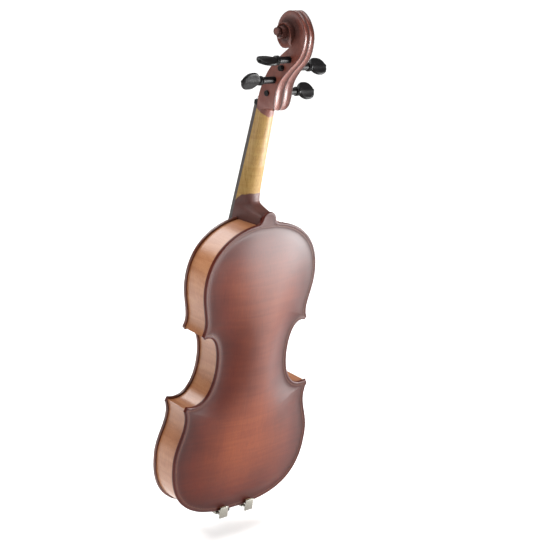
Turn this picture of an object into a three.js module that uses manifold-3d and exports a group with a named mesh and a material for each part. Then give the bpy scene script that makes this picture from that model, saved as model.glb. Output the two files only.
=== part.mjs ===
// A violin: arched plates, ribs, linings and blocks, a carved neck and scroll, four turning pegs,
// strings, tailpiece with a fine tuner, and a chin rest held by two turnbuckle clamps.
//
// Millimetres. x is positive on the treble side, y is positive to the back, and z runs up the body
// from the bottom edge of the plates, which lies at z = 0 on the centre line.
import * as THREE from "three";
import { mergeVertices } from "three/addons/utils/BufferGeometryUtils.js";
import Module from "manifold-3d";

const wasm = await Module();
wasm.setup();

// ---------------------------------------------------------------- driving dimensions
const BODY_LENGTH = 356;
const RIB_HEIGHT = 31;
const RIB_THICKNESS = 1.2;
const EDGE_THICKNESS = 4;
const EDGE_OVERHANG = 2.8;
const BACK_ARCH = 11;
const TOP_ARCH = 11.5;
const PLATE_THICKNESS = 3;
const FLAT_MARGIN = 6.5;
const GLUE_MARGIN = 9;
const BUTTON_WIDTH = 21;
const BUTTON_HEIGHT = 13;
const BUTTON_ROUND = 9;
const LINING_WIDTH = 2;
const LINING_HEIGHT = 7.5;
const BLOCK_REACH = 24;
const GAP = 0.3;

const NECK_OVERSTAND = 6;
const NECK_TILT = THREE.MathUtils.degToRad(-6.8);
const NECK_LENGTH = 130;
const FINGERBOARD_LENGTH = 270;
const FINGERBOARD_RADIUS = 42;
const FINGERBOARD_EDGE = 5;
const NUT_WIDTH = 24;
const NUT_LENGTH = 5.2;
const BRIDGE_Z = 161;
const BRIDGE_HEIGHT = 33;
const STRING_SPREAD_NUT = 16.5;
const STRING_SPREAD_BRIDGE = 33.5;
const CLAMP_X = 20;
const CLAMP_Z = -5.5;

const BACK_FACE = RIB_HEIGHT / 2;
const BACK_EDGE = BACK_FACE + EDGE_THICKNESS;

// ---------------------------------------------------------------- helpers
function material(color, roughness, metalness = 0) {
  return new THREE.MeshStandardMaterial({ color, roughness, metalness });
}

function bare(geometry) {
  const clean = geometry.index ? geometry.toNonIndexed() : geometry.clone();
  clean.deleteAttribute("normal");
  clean.deleteAttribute("uv");
  return mergeVertices(clean, 1e-4);
}

function solid(geometry) {
  const merged = bare(geometry);
  return new wasm.Manifold(
    new wasm.Mesh({
      numProp: 3,
      vertProperties: merged.attributes.position.array,
      triVerts: new Uint32Array(merged.index.array),
    }),
  );
}

function geometryOf(manifold) {
  const made = manifold.getMesh();
  const geometry = new THREE.BufferGeometry();
  geometry.setAttribute("position", new THREE.BufferAttribute(made.vertProperties, 3));
  geometry.setIndex(new THREE.BufferAttribute(made.triVerts, 1));
  geometry.computeVertexNormals();
  return geometry;
}

function cut(geometry, ...tools) {
  return geometryOf(tools.reduce((body, tool) => body.subtract(solid(tool)), solid(geometry)));
}

function join(geometry, ...others) {
  return geometryOf(others.reduce((body, other) => body.add(solid(other)), solid(geometry)));
}

// A flat outline drawn in two of the axes and pushed along the third.
const PLANES = {
  xy: [new THREE.Vector3(1, 0, 0), new THREE.Vector3(0, 1, 0), new THREE.Vector3(0, 0, 1)],
  xz: [new THREE.Vector3(1, 0, 0), new THREE.Vector3(0, 0, 1), new THREE.Vector3(0, -1, 0)],
  yz: [new THREE.Vector3(0, 1, 0), new THREE.Vector3(0, 0, 1), new THREE.Vector3(1, 0, 0)],
};

function prism(plane, points, from, to, holes = []) {
  const shape = new THREE.Shape(points.map(([a, b]) => new THREE.Vector2(a, b)));
  holes.forEach((hole) =>
    shape.holes.push(new THREE.Path(hole.map(([a, b]) => new THREE.Vector2(a, b)))),
  );
  const geometry = new THREE.ExtrudeGeometry(shape, { depth: to - from, bevelEnabled: false });
  geometry.translate(0, 0, plane === "xz" ? -to : from);
  return geometry.applyMatrix4(new THREE.Matrix4().makeBasis(...PLANES[plane]));
}

// A closed skin through rings of points that all have the same count, with flat ends.
function loft(rings) {
  const count = rings[0].length;
  const vertices = rings.flat();
  const middles = [rings[0], rings[rings.length - 1]].map((ring) =>
    [0, 1, 2].map((axis) => ring.reduce((sum, point) => sum + point[axis], 0) / count),
  );
  vertices.push(...middles);
  const faces = [];
  for (let r = 0; r < rings.length - 1; r++) {
    for (let i = 0; i < count; i++) {
      const [a, b] = [r * count + i, r * count + ((i + 1) % count)];
      faces.push([a, b, b + count], [a, b + count, a + count]);
    }
  }
  const last = (rings.length - 1) * count;
  for (let i = 0; i < count; i++) {
    const next = (i + 1) % count;
    faces.push([rings.length * count, next, i]);
    faces.push([rings.length * count + 1, last + i, last + next]);
  }
  return facingOut(vertices, faces);
}

// Turns the faces round where the solid they close would be inside out.
function facingOut(vertices, faces) {
  const corner = (i) => new THREE.Vector3(...vertices[i]);
  const volume = faces.reduce(
    (sum, [a, b, c]) => sum + corner(a).dot(corner(b).cross(corner(c))),
    0,
  );
  const turned = volume < 0 ? faces.map(([a, b, c]) => [a, c, b]) : faces;
  const geometry = new THREE.BufferGeometry();
  geometry.setAttribute("position", new THREE.Float32BufferAttribute(vertices.flat(), 3));
  geometry.setIndex(turned.flat());
  geometry.computeVertexNormals();
  return geometry;
}

function box(x0, x1, y0, y1, z0, z1) {
  return new THREE.BoxGeometry(x1 - x0, y1 - y0, z1 - z0).translate(
    (x0 + x1) / 2,
    (y0 + y1) / 2,
    (z0 + z1) / 2,
  );
}

// A round rod along an axis, centred on the other two.
function rod(axis, radius, from, to, [a, b], sides = 16) {
  const geometry = new THREE.CylinderGeometry(radius, radius, to - from, sides);
  const middle = (from + to) / 2;
  if (axis === "x") return geometry.rotateZ(-Math.PI / 2).translate(middle, a, b);
  if (axis === "y") return geometry.translate(a, middle, b);
  return geometry.rotateX(Math.PI / 2).translate(a, b, middle);
}

function smoothStep(value) {
  return (1 - Math.cos(Math.PI * THREE.MathUtils.clamp(value, 0, 1))) / 2;
}

const root = new THREE.Group();
const neckGroup = new THREE.Group();
neckGroup.position.set(0, -(BACK_EDGE + NECK_OVERSTAND), BODY_LENGTH);
neckGroup.rotation.x = NECK_TILT;
neckGroup.updateMatrix();
const tailGroup = new THREE.Group();
tailGroup.position.set(0, -31, 4);
tailGroup.rotation.x = THREE.MathUtils.degToRad(6.3);
tailGroup.updateMatrix();
root.add(neckGroup, tailGroup);

function add(name, geometry, look, parent = root) {
  const mesh = new THREE.Mesh(geometry, look);
  mesh.name = name;
  parent.add(mesh);
  return mesh;
}

const SIDES = [
  ["treble", 1],
  ["bass", -1],
];

// Mirrors a list of x, z points on the treble side to the bass side.
function onSide(points, sign) {
  return sign > 0 ? points : points.map(([x, z]) => [-x, z]).reverse();
}

// ---------------------------------------------------------------- looks
const looks = {
  back: material(0x7a3b1d, 0.35),
  top: material(0xa8642c, 0.35),
  ribs: material(0xb07432, 0.38),
  spruce: material(0xd9bd8c, 0.8),
  maple: material(0xd8ae62, 0.55),
  ebony: material(0x17120f, 0.4),
  boxed: material(0x2a1d16, 0.6),
  bridge: material(0xcf9f62, 0.6),
  nickel: material(0xc9c7c0, 0.25, 1),
  cork: material(0xcdb593, 0.9),
  silver: material(0xb9b9b6, 0.35, 1),
  nylon: material(0x141414, 0.5),
};

// ---------------------------------------------------------------- outline of the body
// The treble half, from the bottom of the centre line to its top, as cubic curves in x and z.
const HALF = {
  lower: [
    [[0, 0], [58, 0], [103.5, 14], [103.5, 79]],
    [[103.5, 79], [103.5, 104], [85, 121], [95.5, 143]],
  ],
  centre: [
    [[92.5, 148.5], [67, 141], [54.5, 164], [54.5, 192]],
    [[54.5, 192], [54.5, 214], [62, 232], [77, 227.5]],
  ],
  upper: [
    [[80.5, 231.5], [72, 246], [84.5, 262], [84.5, 286]],
    [[84.5, 286], [84.5, 330], [50, 356], [0, 356]],
  ],
};
const STEPS = { lower: [8, 4], centre: [5, 5], upper: [4, 7] };
// Where the rings of an arched plate close in on the centre line, for each end of each curve.
const SPINE = {
  lower: [[30, 75], [75, 110]],
  centre: [[112, 185], [185, 262]],
  upper: [[263, 285], [285, 335]],
};

// Stations along a bout: the edge point, the way inwards, and the place on the centre line.
function stationsOf(bout) {
  const stations = [];
  HALF[bout].forEach((controls, part) => {
    const curve = new THREE.CubicBezierCurve(...controls.map(([x, z]) => new THREE.Vector2(x, z)));
    const steps = STEPS[bout][part];
    for (let i = part === 0 ? 0 : 1; i <= steps; i++) {
      const t = i / steps;
      const point = curve.getPoint(t);
      const along = curve.getTangent(t);
      const [low, high] = SPINE[bout][part];
      stations.push({
        point: [point.x, point.y],
        inward: [-along.y, along.x],
        along: [along.x, along.y],
        spine: low + (high - low) * t,
      });
    }
  });
  return stations;
}

const STATIONS = {
  lower: stationsOf("lower"),
  centre: stationsOf("centre"),
  upper: stationsOf("upper"),
};
const HALF_STATIONS = [...STATIONS.lower, ...STATIONS.centre, ...STATIONS.upper];
const OUTLINE = [
  ...HALF_STATIONS.map((s) => s.point),
  ...HALF_STATIONS.slice(1, -1)
    .reverse()
    .map((s) => [-s.point[0], s.point[1]]),
];

// A bout's curve moved inwards, with straight ends that run past its corners.
function movedIn(bout, distance) {
  const points = STATIONS[bout].map(({ point, inward }) => [
    point[0] + inward[0] * distance,
    point[1] + inward[1] * distance,
  ]);
  const reach = 14;
  const first = STATIONS[bout][0].along;
  const last = STATIONS[bout][STATIONS[bout].length - 1].along;
  if (bout !== "lower")
    points.unshift([points[0][0] - first[0] * reach, points[0][1] - first[1] * reach]);
  const end = points[points.length - 1];
  if (bout !== "upper") points.push([end[0] + last[0] * reach, end[1] + last[1] * reach]);
  return points;
}

function crossing([ax, az], [bx, bz], [cx, cz], [dx, dz]) {
  const spread = (bx - ax) * (dz - cz) - (bz - az) * (dx - cx);
  const s = ((cx - ax) * (dz - cz) - (cz - az) * (dx - cx)) / spread;
  const t = ((cx - ax) * (bz - az) - (cz - az) * (bx - ax)) / spread;
  return s >= 0 && s <= 1 && t >= 0 && t <= 1 ? [ax + (bx - ax) * s, az + (bz - az) * s] : null;
}

// Cuts the end of one line and the start of the next where they cross.
function mitre(before, after) {
  for (let i = before.length - 1; i > 0; i--) {
    for (let j = 0; j < after.length - 1; j++) {
      const corner = crossing(before[i - 1], before[i], after[j], after[j + 1]);
      if (corner)
        return [
          [...before.slice(0, i), corner],
          [corner, ...after.slice(j + 1)],
        ];
    }
  }
  throw new Error("the bouts do not meet");
}

function inset(distance) {
  const [lower, startOfCentre] = mitre(movedIn("lower", distance), movedIn("centre", distance));
  const [centre, upper] = mitre(startOfCentre, movedIn("upper", distance));
  return { lower, centre, upper };
}

function insetLoop(distance) {
  const { lower, centre, upper } = inset(distance);
  const half = [...lower, ...centre.slice(1), ...upper.slice(1)];
  return [...half, ...half.slice(1, -1).reverse().map(([x, z]) => [-x, z])];
}

// The stretch of a line between two distances along it.
function between(line, from, to) {
  const kept = [];
  let run = 0;
  for (let i = 0; i < line.length - 1; i++) {
    const [[ax, az], [bx, bz]] = [line[i], line[i + 1]];
    const length = Math.hypot(bx - ax, bz - az);
    const at = (s) => [ax + ((bx - ax) * s) / length, az + ((bz - az) * s) / length];
    if (run + length > from && run < to) {
      if (!kept.length) kept.push(at(Math.max(0, from - run)));
      kept.push(at(Math.min(length, to - run)));
    }
    run += length;
  }
  return kept;
}

function lengthOf(line) {
  return line
    .slice(1)
    .reduce((sum, [x, z], i) => sum + Math.hypot(x - line[i][0], z - line[i][1]), 0);
}

// ---------------------------------------------------------------- arched plates
function edgeDistance(x, z) {
  let least = Infinity;
  OUTLINE.forEach(([ax, az], i) => {
    const [bx, bz] = OUTLINE[(i + 1) % OUTLINE.length];
    const along = ((x - ax) * (bx - ax) + (z - az) * (bz - az)) / ((bx - ax) ** 2 + (bz - az) ** 2);
    const s = THREE.MathUtils.clamp(along, 0, 1);
    least = Math.min(least, Math.hypot(x - ax - (bx - ax) * s, z - az - (bz - az) * s));
  });
  return least;
}

const LONG_RISE = 150;
// The share of the full arch at a point, with a flat margin of the given width.
function archShare(x, z, margin) {
  const fromEnd = Math.min(z, BODY_LENGTH - z);
  const long = Math.max(0, Math.min(1, (fromEnd - margin) / (LONG_RISE - margin)));
  const across = (edgeDistance(x, z) - margin) / Math.max(1, edgeDistance(0, z) - margin);
  return smoothStep(long ** 0.6) * smoothStep(THREE.MathUtils.clamp(across, 0, 1) ** 0.7);
}

function outerRise(x, z, arch) {
  return EDGE_THICKNESS + arch * archShare(x, z, FLAT_MARGIN);
}

function innerRise(x, z, arch) {
  return (EDGE_THICKNESS + arch - PLATE_THICKNESS) * archShare(x, z, GLUE_MARGIN);
}

const OUTER_RINGS = [0, 0.08, 0.2, 0.38, 0.58, 0.8, 1];
const INNER_RINGS = [0, 0.14, 0.36, 0.66, 1];

// A plate as rings that run from its outline to its centre line, outside first and then inside.
function plate(arch, toFront) {
  const closed = [
    ...HALF_STATIONS,
    ...HALF_STATIONS.slice(1, -1)
      .reverse()
      .map((s) => ({ point: [-s.point[0], s.point[1]], spine: s.spine })),
  ];
  const ring = (share, rise) =>
    closed.map(({ point: [x, z], spine }) => {
      const [px, pz] = [x * (1 - share), z + (spine - z) * share];
      return [px, toFront * (BACK_FACE + rise(px, pz)), pz];
    });
  const rings = [
    ...INNER_RINGS.toReversed().map((share) => ring(share, (x, z) => innerRise(x, z, arch))),
    ...OUTER_RINGS.map((share) => ring(share, (x, z) => outerRise(x, z, arch))),
  ];
  const count = closed.length;
  const faces = [];
  for (let r = 0; r < rings.length - 1; r++) {
    for (let i = 0; i < count; i++) {
      const [a, b] = [r * count + i, r * count + ((i + 1) % count)];
      faces.push([a, b, b + count], [a, b + count, a + count]);
    }
  }
  return facingOut(rings.flat(), faces);
}

const PURFLING_INSET = 3.8;
const PURFLING_WIDTH = 1.2;
const PURFLING_DEPTH = 1.6;
const GROOVE_CLEARANCE = 0.2;

function purflingRing(clearance, toFront, height) {
  const outer = insetLoop(PURFLING_INSET - clearance);
  const inner = insetLoop(PURFLING_INSET + PURFLING_WIDTH + clearance);
  const ends = [BACK_EDGE - PURFLING_DEPTH, BACK_EDGE + height].map((y) => toFront * y);
  return prism("xz", outer, Math.min(...ends), Math.max(...ends), [inner]);
}

// Half of one sound hole's slot: its centre line and its width along it.
const F_HOLE = { upper: [24.5, 196, 3.2], lower: [41, 129, 4.4], widest: 5.4, narrowest: 1.6 };
const F_LINE = new THREE.CubicBezierCurve(
  new THREE.Vector2(25, 198.6),
  new THREE.Vector2(36, 206),
  new THREE.Vector2(28, 117),
  new THREE.Vector2(41, 125.2),
);
const F_STEPS = 14;

function soundHole(sign) {
  const sides = [1, -1].map((side) =>
    Array.from({ length: F_STEPS + 1 }, (_, i) => {
      const t = i / F_STEPS;
      const point = F_LINE.getPoint(t);
      const along = F_LINE.getTangent(t);
      const half =
        (F_HOLE.narrowest + (F_HOLE.widest - F_HOLE.narrowest) * Math.sin(Math.PI * t)) / 2;
      return [point.x - along.y * half * side, point.y + along.x * half * side];
    }),
  );
  const slot = [...sides[0], ...sides[1].toReversed()];
  const [from, to] = [-BACK_EDGE - TOP_ARCH - 2, -BACK_FACE + 2];
  const eyes = [F_HOLE.upper, F_HOLE.lower].map(([x, z, radius]) =>
    rod("y", radius, from, to, [x * sign, z], 14),
  );
  return join(prism("xz", onSide(slot, sign), from, to), ...eyes);
}

// ---------------------------------------------------------------- neck, pegbox and scroll
const HEEL_TOP_WIDTH = 33.5;
const MORTISE_DEPTH = 6;

// Half sections of the neck along its length: z, width, depth, and how square the back is.
const NECK_SECTIONS = [
  [-12, HEEL_TOP_WIDTH, 46, 0.8],
  [6, 33.2, 46, 0.8],
  [12.2, 33, 44, 0.8],
  [14.5, 32.8, 38, 0.8],
  [16, 32.6, 27, 0.7],
  [18, 32.4, 19.5, 0.5],
  [21, 32.2, 15, 0.25],
  [28, 31.8, 12.9, 0.05],
  [60, 29.4, 12.3, 0],
  [100, 26.4, 11.6, 0],
  [126, 24.6, 11.2, 0],
  [140, 24.6, 12.5, 0],
];

function neckSection([z, width, depth, square], margin) {
  const half = width / 2 + margin;
  const foot = BUTTON_WIDTH / 2 + margin;
  const arc = Array.from({ length: 11 }, (_, i) => {
    const angle = (Math.PI * i) / 10;
    const roundX = half * Math.cos(angle);
    const roundY = (depth + margin) * Math.sin(angle) ** 0.9;
    const down = Math.min(1, Math.sin(angle) * 1.25);
    const edge = Math.sign(Math.cos(angle)) * (half + (foot - half) * down);
    const squareX = Math.abs(Math.cos(angle)) < 0.62 ? edge * (Math.cos(angle) / 0.62) : edge;
    const squareY = (depth + margin) * down;
    return [
      roundX + (Math.sign(Math.cos(angle)) * Math.abs(squareX) - roundX) * square,
      roundY + (squareY - roundY) * square,
      z,
    ];
  });
  return [[half, 0.15, z], ...arc.slice(1, -1), [-half, 0.15, z]];
}

// The side view of the head, y to the back and z up, from the nut round the scroll and back.
const PEGBOX_BACK = [
  [11, 128.8], [19.5, 130.6], [23.4, 133.8], [25, 140], [25.2, 147], [24, 156], [26.2, 166],
  [31.4, 177], [38, 187], [43.6, 196],
];
const SCROLL_BACK = [
  [46.4, 204], [47.2, 214], [45.4, 223], [40.8, 231], [33, 238], [26, 242.6], [19.7, 244.2],
  [14.2, 242.4], [9.9, 238.8], [5, 232.6], [2.6, 224.7], [3, 215], [6, 207.6], [10.6, 203.9],
  [17.5, 204], [23, 206.4],
];
const PEGBOX_FRONT = [
  [27, 206], [22.6, 199.1], [16, 191.6], [10.6, 183.8], [6.6, 176.6], [4.2, 170], [2.4, 163],
  [1.4, 156.6], [0.3, 150.6], [0.15, 141], [0.15, 131],
];
const EYE = [14.8, 219.6];
const HEAD_WIDTHS = [
  [131, 24.6], [138, 26.6], [150, 25.6], [175, 21.6], [200, 16.6], [212, 15], [246, 14],
];

function widthAt(z) {
  for (let i = 1; i < HEAD_WIDTHS.length; i++) {
    const [[za, wa], [zb, wb]] = [HEAD_WIDTHS[i - 1], HEAD_WIDTHS[i]];
    if (z <= zb) return wa + ((wb - wa) * Math.max(0, z - za)) / (zb - za);
  }
  return HEAD_WIDTHS[HEAD_WIDTHS.length - 1][1];
}

// An outline in y and z with the width of the head at each height.
function headSolid(points, widthOf) {
  const geometry = prism("yz", points, -0.5, 0.5);
  const position = geometry.attributes.position;
  for (let i = 0; i < position.count; i++)
    position.setX(i, position.getX(i) * widthOf(position.getZ(i)));
  return geometry;
}

// One step of the volute: a round boss that stands out on both sides.
function volute(radius, halfWidth, slope) {
  const taper = [-halfWidth, -halfWidth + slope, halfWidth - slope, halfWidth];
  return loft(
    taper.map((x, i) =>
      Array.from({ length: 16 }, (_, k) => {
        const angle = (2 * Math.PI * k) / 16;
        const r = radius * (i === 0 || i === 3 ? 0.72 : 1);
        return [x, EYE[0] + r * Math.cos(angle), EYE[1] + r * Math.sin(angle)];
      }),
    ),
  );
}

const CHEEK_THICKNESS = 4.6;
const CAVITY = [
  [-6, 139.5], [12, 139.5], [17.6, 146], [17, 156], [19.4, 168], [25.4, 181], [33, 191.5],
  [36.5, 198], [30, 200], [10, 196], [-6, 170],
];

// Pegs: place of the axis in the side view, side of the head, and where the head ends.
const PEGS = [
  { string: "g", side: -1, y: 12, z: 148.5, tip: 58.5, turn: 45 },
  { string: "e", side: 1, y: 17.4, z: 165.6, tip: 59, turn: 75 },
  { string: "d", side: -1, y: 24.6, z: 181.6, tip: 56, turn: 40 },
  { string: "a", side: 1, y: 32, z: 193.4, tip: 55, turn: -5 },
];
const PEG_RADIUS_THICK = 3.9;
const PEG_RADIUS_THIN = 3.3;
const PEG_CLEARANCE = 0.35;

function neckSolid() {
  const shaft = loft(NECK_SECTIONS.map((section) => neckSection(section, 0)));
  const head = headSolid([...PEGBOX_BACK, ...SCROLL_BACK, ...PEGBOX_FRONT], widthAt);
  const hollow = headSolid(CAVITY, (z) => widthAt(z) - 2 * CHEEK_THICKNESS);
  const holes = PEGS.map(({ y, z }) =>
    rod("x", PEG_RADIUS_THICK + PEG_CLEARANCE, -20, 20, [y, z], 12),
  );
  const carved = join(shaft, head, volute(12.2, 14.6, 2.6), volute(5.6, 20.6, 2));
  const inBody = cut(carved, hollow, ...holes).applyMatrix4(neckGroup.matrix);
  const foot = BODY_LENGTH - MORTISE_DEPTH + GAP;
  return cut(
    inBody,
    box(-40, 40, -60, 60, foot - 60, foot),
    box(-40, 40, BACK_FACE - GAP, BACK_FACE + 60, foot - 1, BODY_LENGTH + 40),
  );
}

function mortise() {
  const root = NECK_SECTIONS.slice(0, 3).map((section) => neckSection(section, GAP));
  const wide = loft(root).applyMatrix4(neckGroup.matrix);
  const floor = BODY_LENGTH - MORTISE_DEPTH;
  return cut(
    wide,
    box(-60, 60, -80, 80, floor - 60, floor),
    box(-60, 60, BACK_FACE, BACK_FACE + 60, floor - 1, BODY_LENGTH + 60),
  );
}

const MORTISE = mortise();

add("neck", neckSolid(), looks.maple);

// ---------------------------------------------------------------- top, back and purfling
const SADDLE_WIDTH = 34;
const SADDLE_LENGTH = 7;

function topPlate() {
  const saddleNotch = box(
    -SADDLE_WIDTH / 2 - GAP, SADDLE_WIDTH / 2 + GAP, -BACK_EDGE - 1, -BACK_FACE + 1, -2,
    SADDLE_LENGTH + GAP,
  );
  return cut(
    plate(TOP_ARCH, -1),
    soundHole(1),
    soundHole(-1),
    saddleNotch,
    MORTISE,
    purflingRing(GROOVE_CLEARANCE, -1, 1),
  );
}

function backPlate() {
  const half = BUTTON_WIDTH / 2;
  const top = BODY_LENGTH + BUTTON_HEIGHT;
  const round = Array.from({ length: 9 }, (_, i) => {
    const angle = (Math.PI * i) / 8;
    return [half * Math.cos(angle), top - BUTTON_ROUND * (1 - Math.sin(angle))];
  });
  const button = prism("xz", [[-half, BODY_LENGTH - 3], [half, BODY_LENGTH - 3], ...round],
    BACK_FACE, BACK_EDGE);
  return cut(join(plate(BACK_ARCH, 1), button), purflingRing(GROOVE_CLEARANCE, 1, 1));
}

// The top's purfling is cut in two by the saddle and the neck; the back's runs all the way round.
function topPurfling(sign) {
  const saddle = SADDLE_WIDTH / 2 + 2 * GAP;
  return cut(
    purflingRing(0, -1, 0),
    box(-saddle, saddle, -BACK_EDGE - 1, -BACK_FACE, -2, SADDLE_LENGTH + 2 * GAP),
    MORTISE,
    sign > 0 ? box(-120, 0, -30, 0, -5, 400) : box(0, 120, -30, 0, -5, 400),
  );
}

add("top_plate", topPlate(), looks.top);
add("back_plate", backPlate(), looks.back);
for (const [side, sign] of SIDES) add(`purfling_top_${side}`, topPurfling(sign), looks.ebony);
add("purfling_back", purflingRing(0, 1, 0), looks.ebony);

// ---------------------------------------------------------------- ribs, linings and blocks
const RIB_OUT = inset(EDGE_OVERHANG);
const RIB_IN = inset(EDGE_OVERHANG + RIB_THICKNESS);
const LINING_IN = inset(EDGE_OVERHANG + RIB_THICKNESS + LINING_WIDTH);
const BUTTON_HOLE = rod("z", 4.3, -5, 12, [0, 0], 16);

for (const [side, sign] of SIDES) {
  for (const bout of ["lower", "centre", "upper"]) {
    const band = [...RIB_OUT[bout], ...RIB_IN[bout].toReversed()];
    const rib = prism("xz", onSide(band, sign), -BACK_FACE, BACK_FACE);
    const opening = { lower: BUTTON_HOLE, upper: MORTISE }[bout];
    add(`rib_${bout}_${side}`, opening ? cut(rib, opening) : rib, looks.ribs);
  }
}

// How far each lining stays from the ends of its bout: the blocks stand there.
const END_BLOCK_WIDTH = 44;
const NECK_BLOCK_WIDTH = 54;
const LINING_ENDS = {
  lower: [END_BLOCK_WIDTH / 2 + 1.5, BLOCK_REACH + 1.5],
  centre: [BLOCK_REACH + 1.5, BLOCK_REACH + 1.5],
  upper: [BLOCK_REACH + 1.5, NECK_BLOCK_WIDTH / 2 + 2],
};

for (const [side, sign] of SIDES) {
  for (const bout of ["lower", "centre", "upper"]) {
    const [start, end] = LINING_ENDS[bout];
    const strip = [RIB_IN[bout], LINING_IN[bout]].map((line) =>
      between(line, start, lengthOf(line) - end),
    );
    const band = onSide([...strip[0], ...strip[1].toReversed()], sign);
    const top = [-BACK_FACE, -BACK_FACE + LINING_HEIGHT];
    const back = [BACK_FACE - LINING_HEIGHT, BACK_FACE];
    add(`lining_top_${bout}_${side}`, prism("xz", band, ...top), looks.spruce);
    add(`lining_back_${bout}_${side}`, prism("xz", band, ...back), looks.spruce);
  }
}

for (const [side, sign] of SIDES) {
  for (const [place, before, after] of [
    ["lower", "lower", "centre"],
    ["upper", "centre", "upper"],
  ]) {
    const [a, b] = [RIB_IN[before], RIB_IN[after]];
    const arriving = between(a, lengthOf(a) - BLOCK_REACH, lengthOf(a));
    const leaving = between(b, 0, BLOCK_REACH);
    const wedge = [...arriving, ...leaving.slice(1)];
    const block = prism("xz", onSide(wedge, sign), -BACK_FACE, BACK_FACE);
    add(`corner_block_${place}_${side}`, block, looks.spruce);
  }
}

// A block across the centre line, between the inside of the ribs and a flat inner face.
function centreBlock(line, width, innerZ) {
  const half = width / 2;
  const beyond = line.findIndex(([x]) => x > half);
  const [[ax, az], [bx, bz]] = [line[beyond - 1], line[beyond]];
  const edge = [half, az + ((bz - az) * (half - ax)) / (bx - ax)];
  const near = [...line.slice(0, beyond), edge];
  const outer = [...near.slice(1).toReversed().map(([x, z]) => [-x, z]), ...near];
  return prism("xz", [...outer, [half, innerZ], [-half, innerZ]], -BACK_FACE, BACK_FACE);
}

const endBlock = centreBlock(RIB_IN.lower, END_BLOCK_WIDTH, 20);
add("end_block", cut(endBlock, rod("z", 4.3, 0, 30, [0, 0], 12)), looks.spruce);
const neckBlock = centreBlock(RIB_IN.upper.toReversed(), NECK_BLOCK_WIDTH, 334);
add("neck_block", cut(neckBlock, MORTISE), looks.spruce);

// ---------------------------------------------------------------- bass bar and sound post
const BAR = { x: -16, width: 5.5, from: 42, to: 312, height: 11 };
const barStations = Array.from({ length: 13 }, (_, i) => BAR.from + ((BAR.to - BAR.from) * i) / 12);
const barGlued = barStations.map((z) => {
  const rise = Math.min(innerRise(BAR.x - 3, z, TOP_ARCH), innerRise(BAR.x + 3, z, TOP_ARCH));
  return [-BACK_FACE - rise + 0.6, z];
});
const barFree = barStations.map((z, i) => {
  const share = Math.sin((Math.PI * i) / 12) ** 0.8;
  return [barGlued[i][0] + 2 + (BAR.height - 2) * share, z];
});
add(
  "bass_bar",
  prism("yz", [...barGlued, ...barFree.toReversed()], BAR.x - BAR.width / 2, BAR.x + BAR.width / 2),
  looks.spruce,
);

const POST = { x: 20, z: 154, radius: 3.1 };
const postFront = -BACK_FACE - innerRise(POST.x + 3, POST.z, TOP_ARCH) + 0.5;
const postBack = BACK_FACE + innerRise(POST.x + 3, POST.z, BACK_ARCH) - 0.5;
add("sound_post", rod("y", POST.radius, postFront, postBack, [POST.x, POST.z]), looks.spruce);

// ---------------------------------------------------------------- fingerboard and nut
// A bar with a flat underside, straight sides and a round face, as wide as given.
function roundFaced(z, width, edge, radius, lift) {
  const half = width / 2;
  const arc = Array.from({ length: 9 }, (_, i) => {
    const x = half - (width * i) / 8;
    return [x, -lift - edge - (Math.sqrt(radius ** 2 - x ** 2) - Math.sqrt(radius ** 2 - half ** 2)), z];
  });
  return [[half, -lift, z], ...arc, [-half, -lift, z]];
}

const FINGERBOARD_ENDS = [
  [NECK_LENGTH, NUT_WIDTH],
  [NECK_LENGTH - FINGERBOARD_LENGTH, 42],
];
add(
  "fingerboard",
  loft(FINGERBOARD_ENDS.map(([z, w]) => roundFaced(z, w, FINGERBOARD_EDGE, FINGERBOARD_RADIUS, 0.15))),
  looks.ebony,
  neckGroup,
);
const NUT_RISE = 0.9;
const nutSection = (z) =>
  roundFaced(z, NUT_WIDTH, FINGERBOARD_EDGE + NUT_RISE, FINGERBOARD_RADIUS, 0.15);
add(
  "nut",
  loft([NECK_LENGTH + 0.2, NECK_LENGTH + NUT_LENGTH].map(nutSection)),
  looks.ebony,
  neckGroup,
);

// ---------------------------------------------------------------- pegs
const PEG_HEAD_LENGTH = 24;
const PEG_HEAD_WIDTH = 21;
const PEG_HEAD_THICKNESS = 9;

function peg({ side, tip, turn }) {
  const headStart = tip - PEG_HEAD_LENGTH;
  const profile = [
    [0, -14.5], [PEG_RADIUS_THIN - 0.4, -14.5], [PEG_RADIUS_THIN, -13.9],
    [PEG_RADIUS_THICK, 16], [PEG_RADIUS_THICK, headStart - 5], [5.2, headStart - 4],
    [5.4, headStart - 1.4], [4.2, headStart - 0.4], [4, headStart + 3], [0, headStart + 3],
  ];
  const shaft = new THREE.LatheGeometry(
    profile.map(([r, x]) => new THREE.Vector2(r, x)),
    12,
  ).rotateZ(-Math.PI / 2);
  const head = new THREE.SphereGeometry(0.5, 12, 7)
    .scale(PEG_HEAD_LENGTH, PEG_HEAD_WIDTH, PEG_HEAD_THICKNESS)
    .translate(tip - PEG_HEAD_LENGTH / 2, 0, 0);
  const whole = join(shaft, head).rotateX(THREE.MathUtils.degToRad(turn));
  return side > 0 ? whole : whole.rotateZ(Math.PI);
}

for (const place of PEGS) {
  const mesh = add(`peg_${place.string}`, peg(place), looks.ebony, neckGroup);
  mesh.position.set(0, place.y, place.z);
}

// ---------------------------------------------------------------- end button and saddle
const END_BUTTON_LENGTH = 13;
const endButton = new THREE.LatheGeometry(
  [
    [0, -18], [3.2, -18], [3.9, -2.4], [7.4, -2.4], [7.6, 1.2],
    [5.2, 3.2], [4.8, 6.4], [6.6, 8.6], [7.6, 11], [6.9, END_BUTTON_LENGTH - 0.6],
    [6, END_BUTTON_LENGTH], [0, END_BUTTON_LENGTH],
  ].map(([r, out]) => new THREE.Vector2(r, out)),
  14,
);
add("end_button", endButton.rotateX(-Math.PI / 2), looks.ebony);

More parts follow.
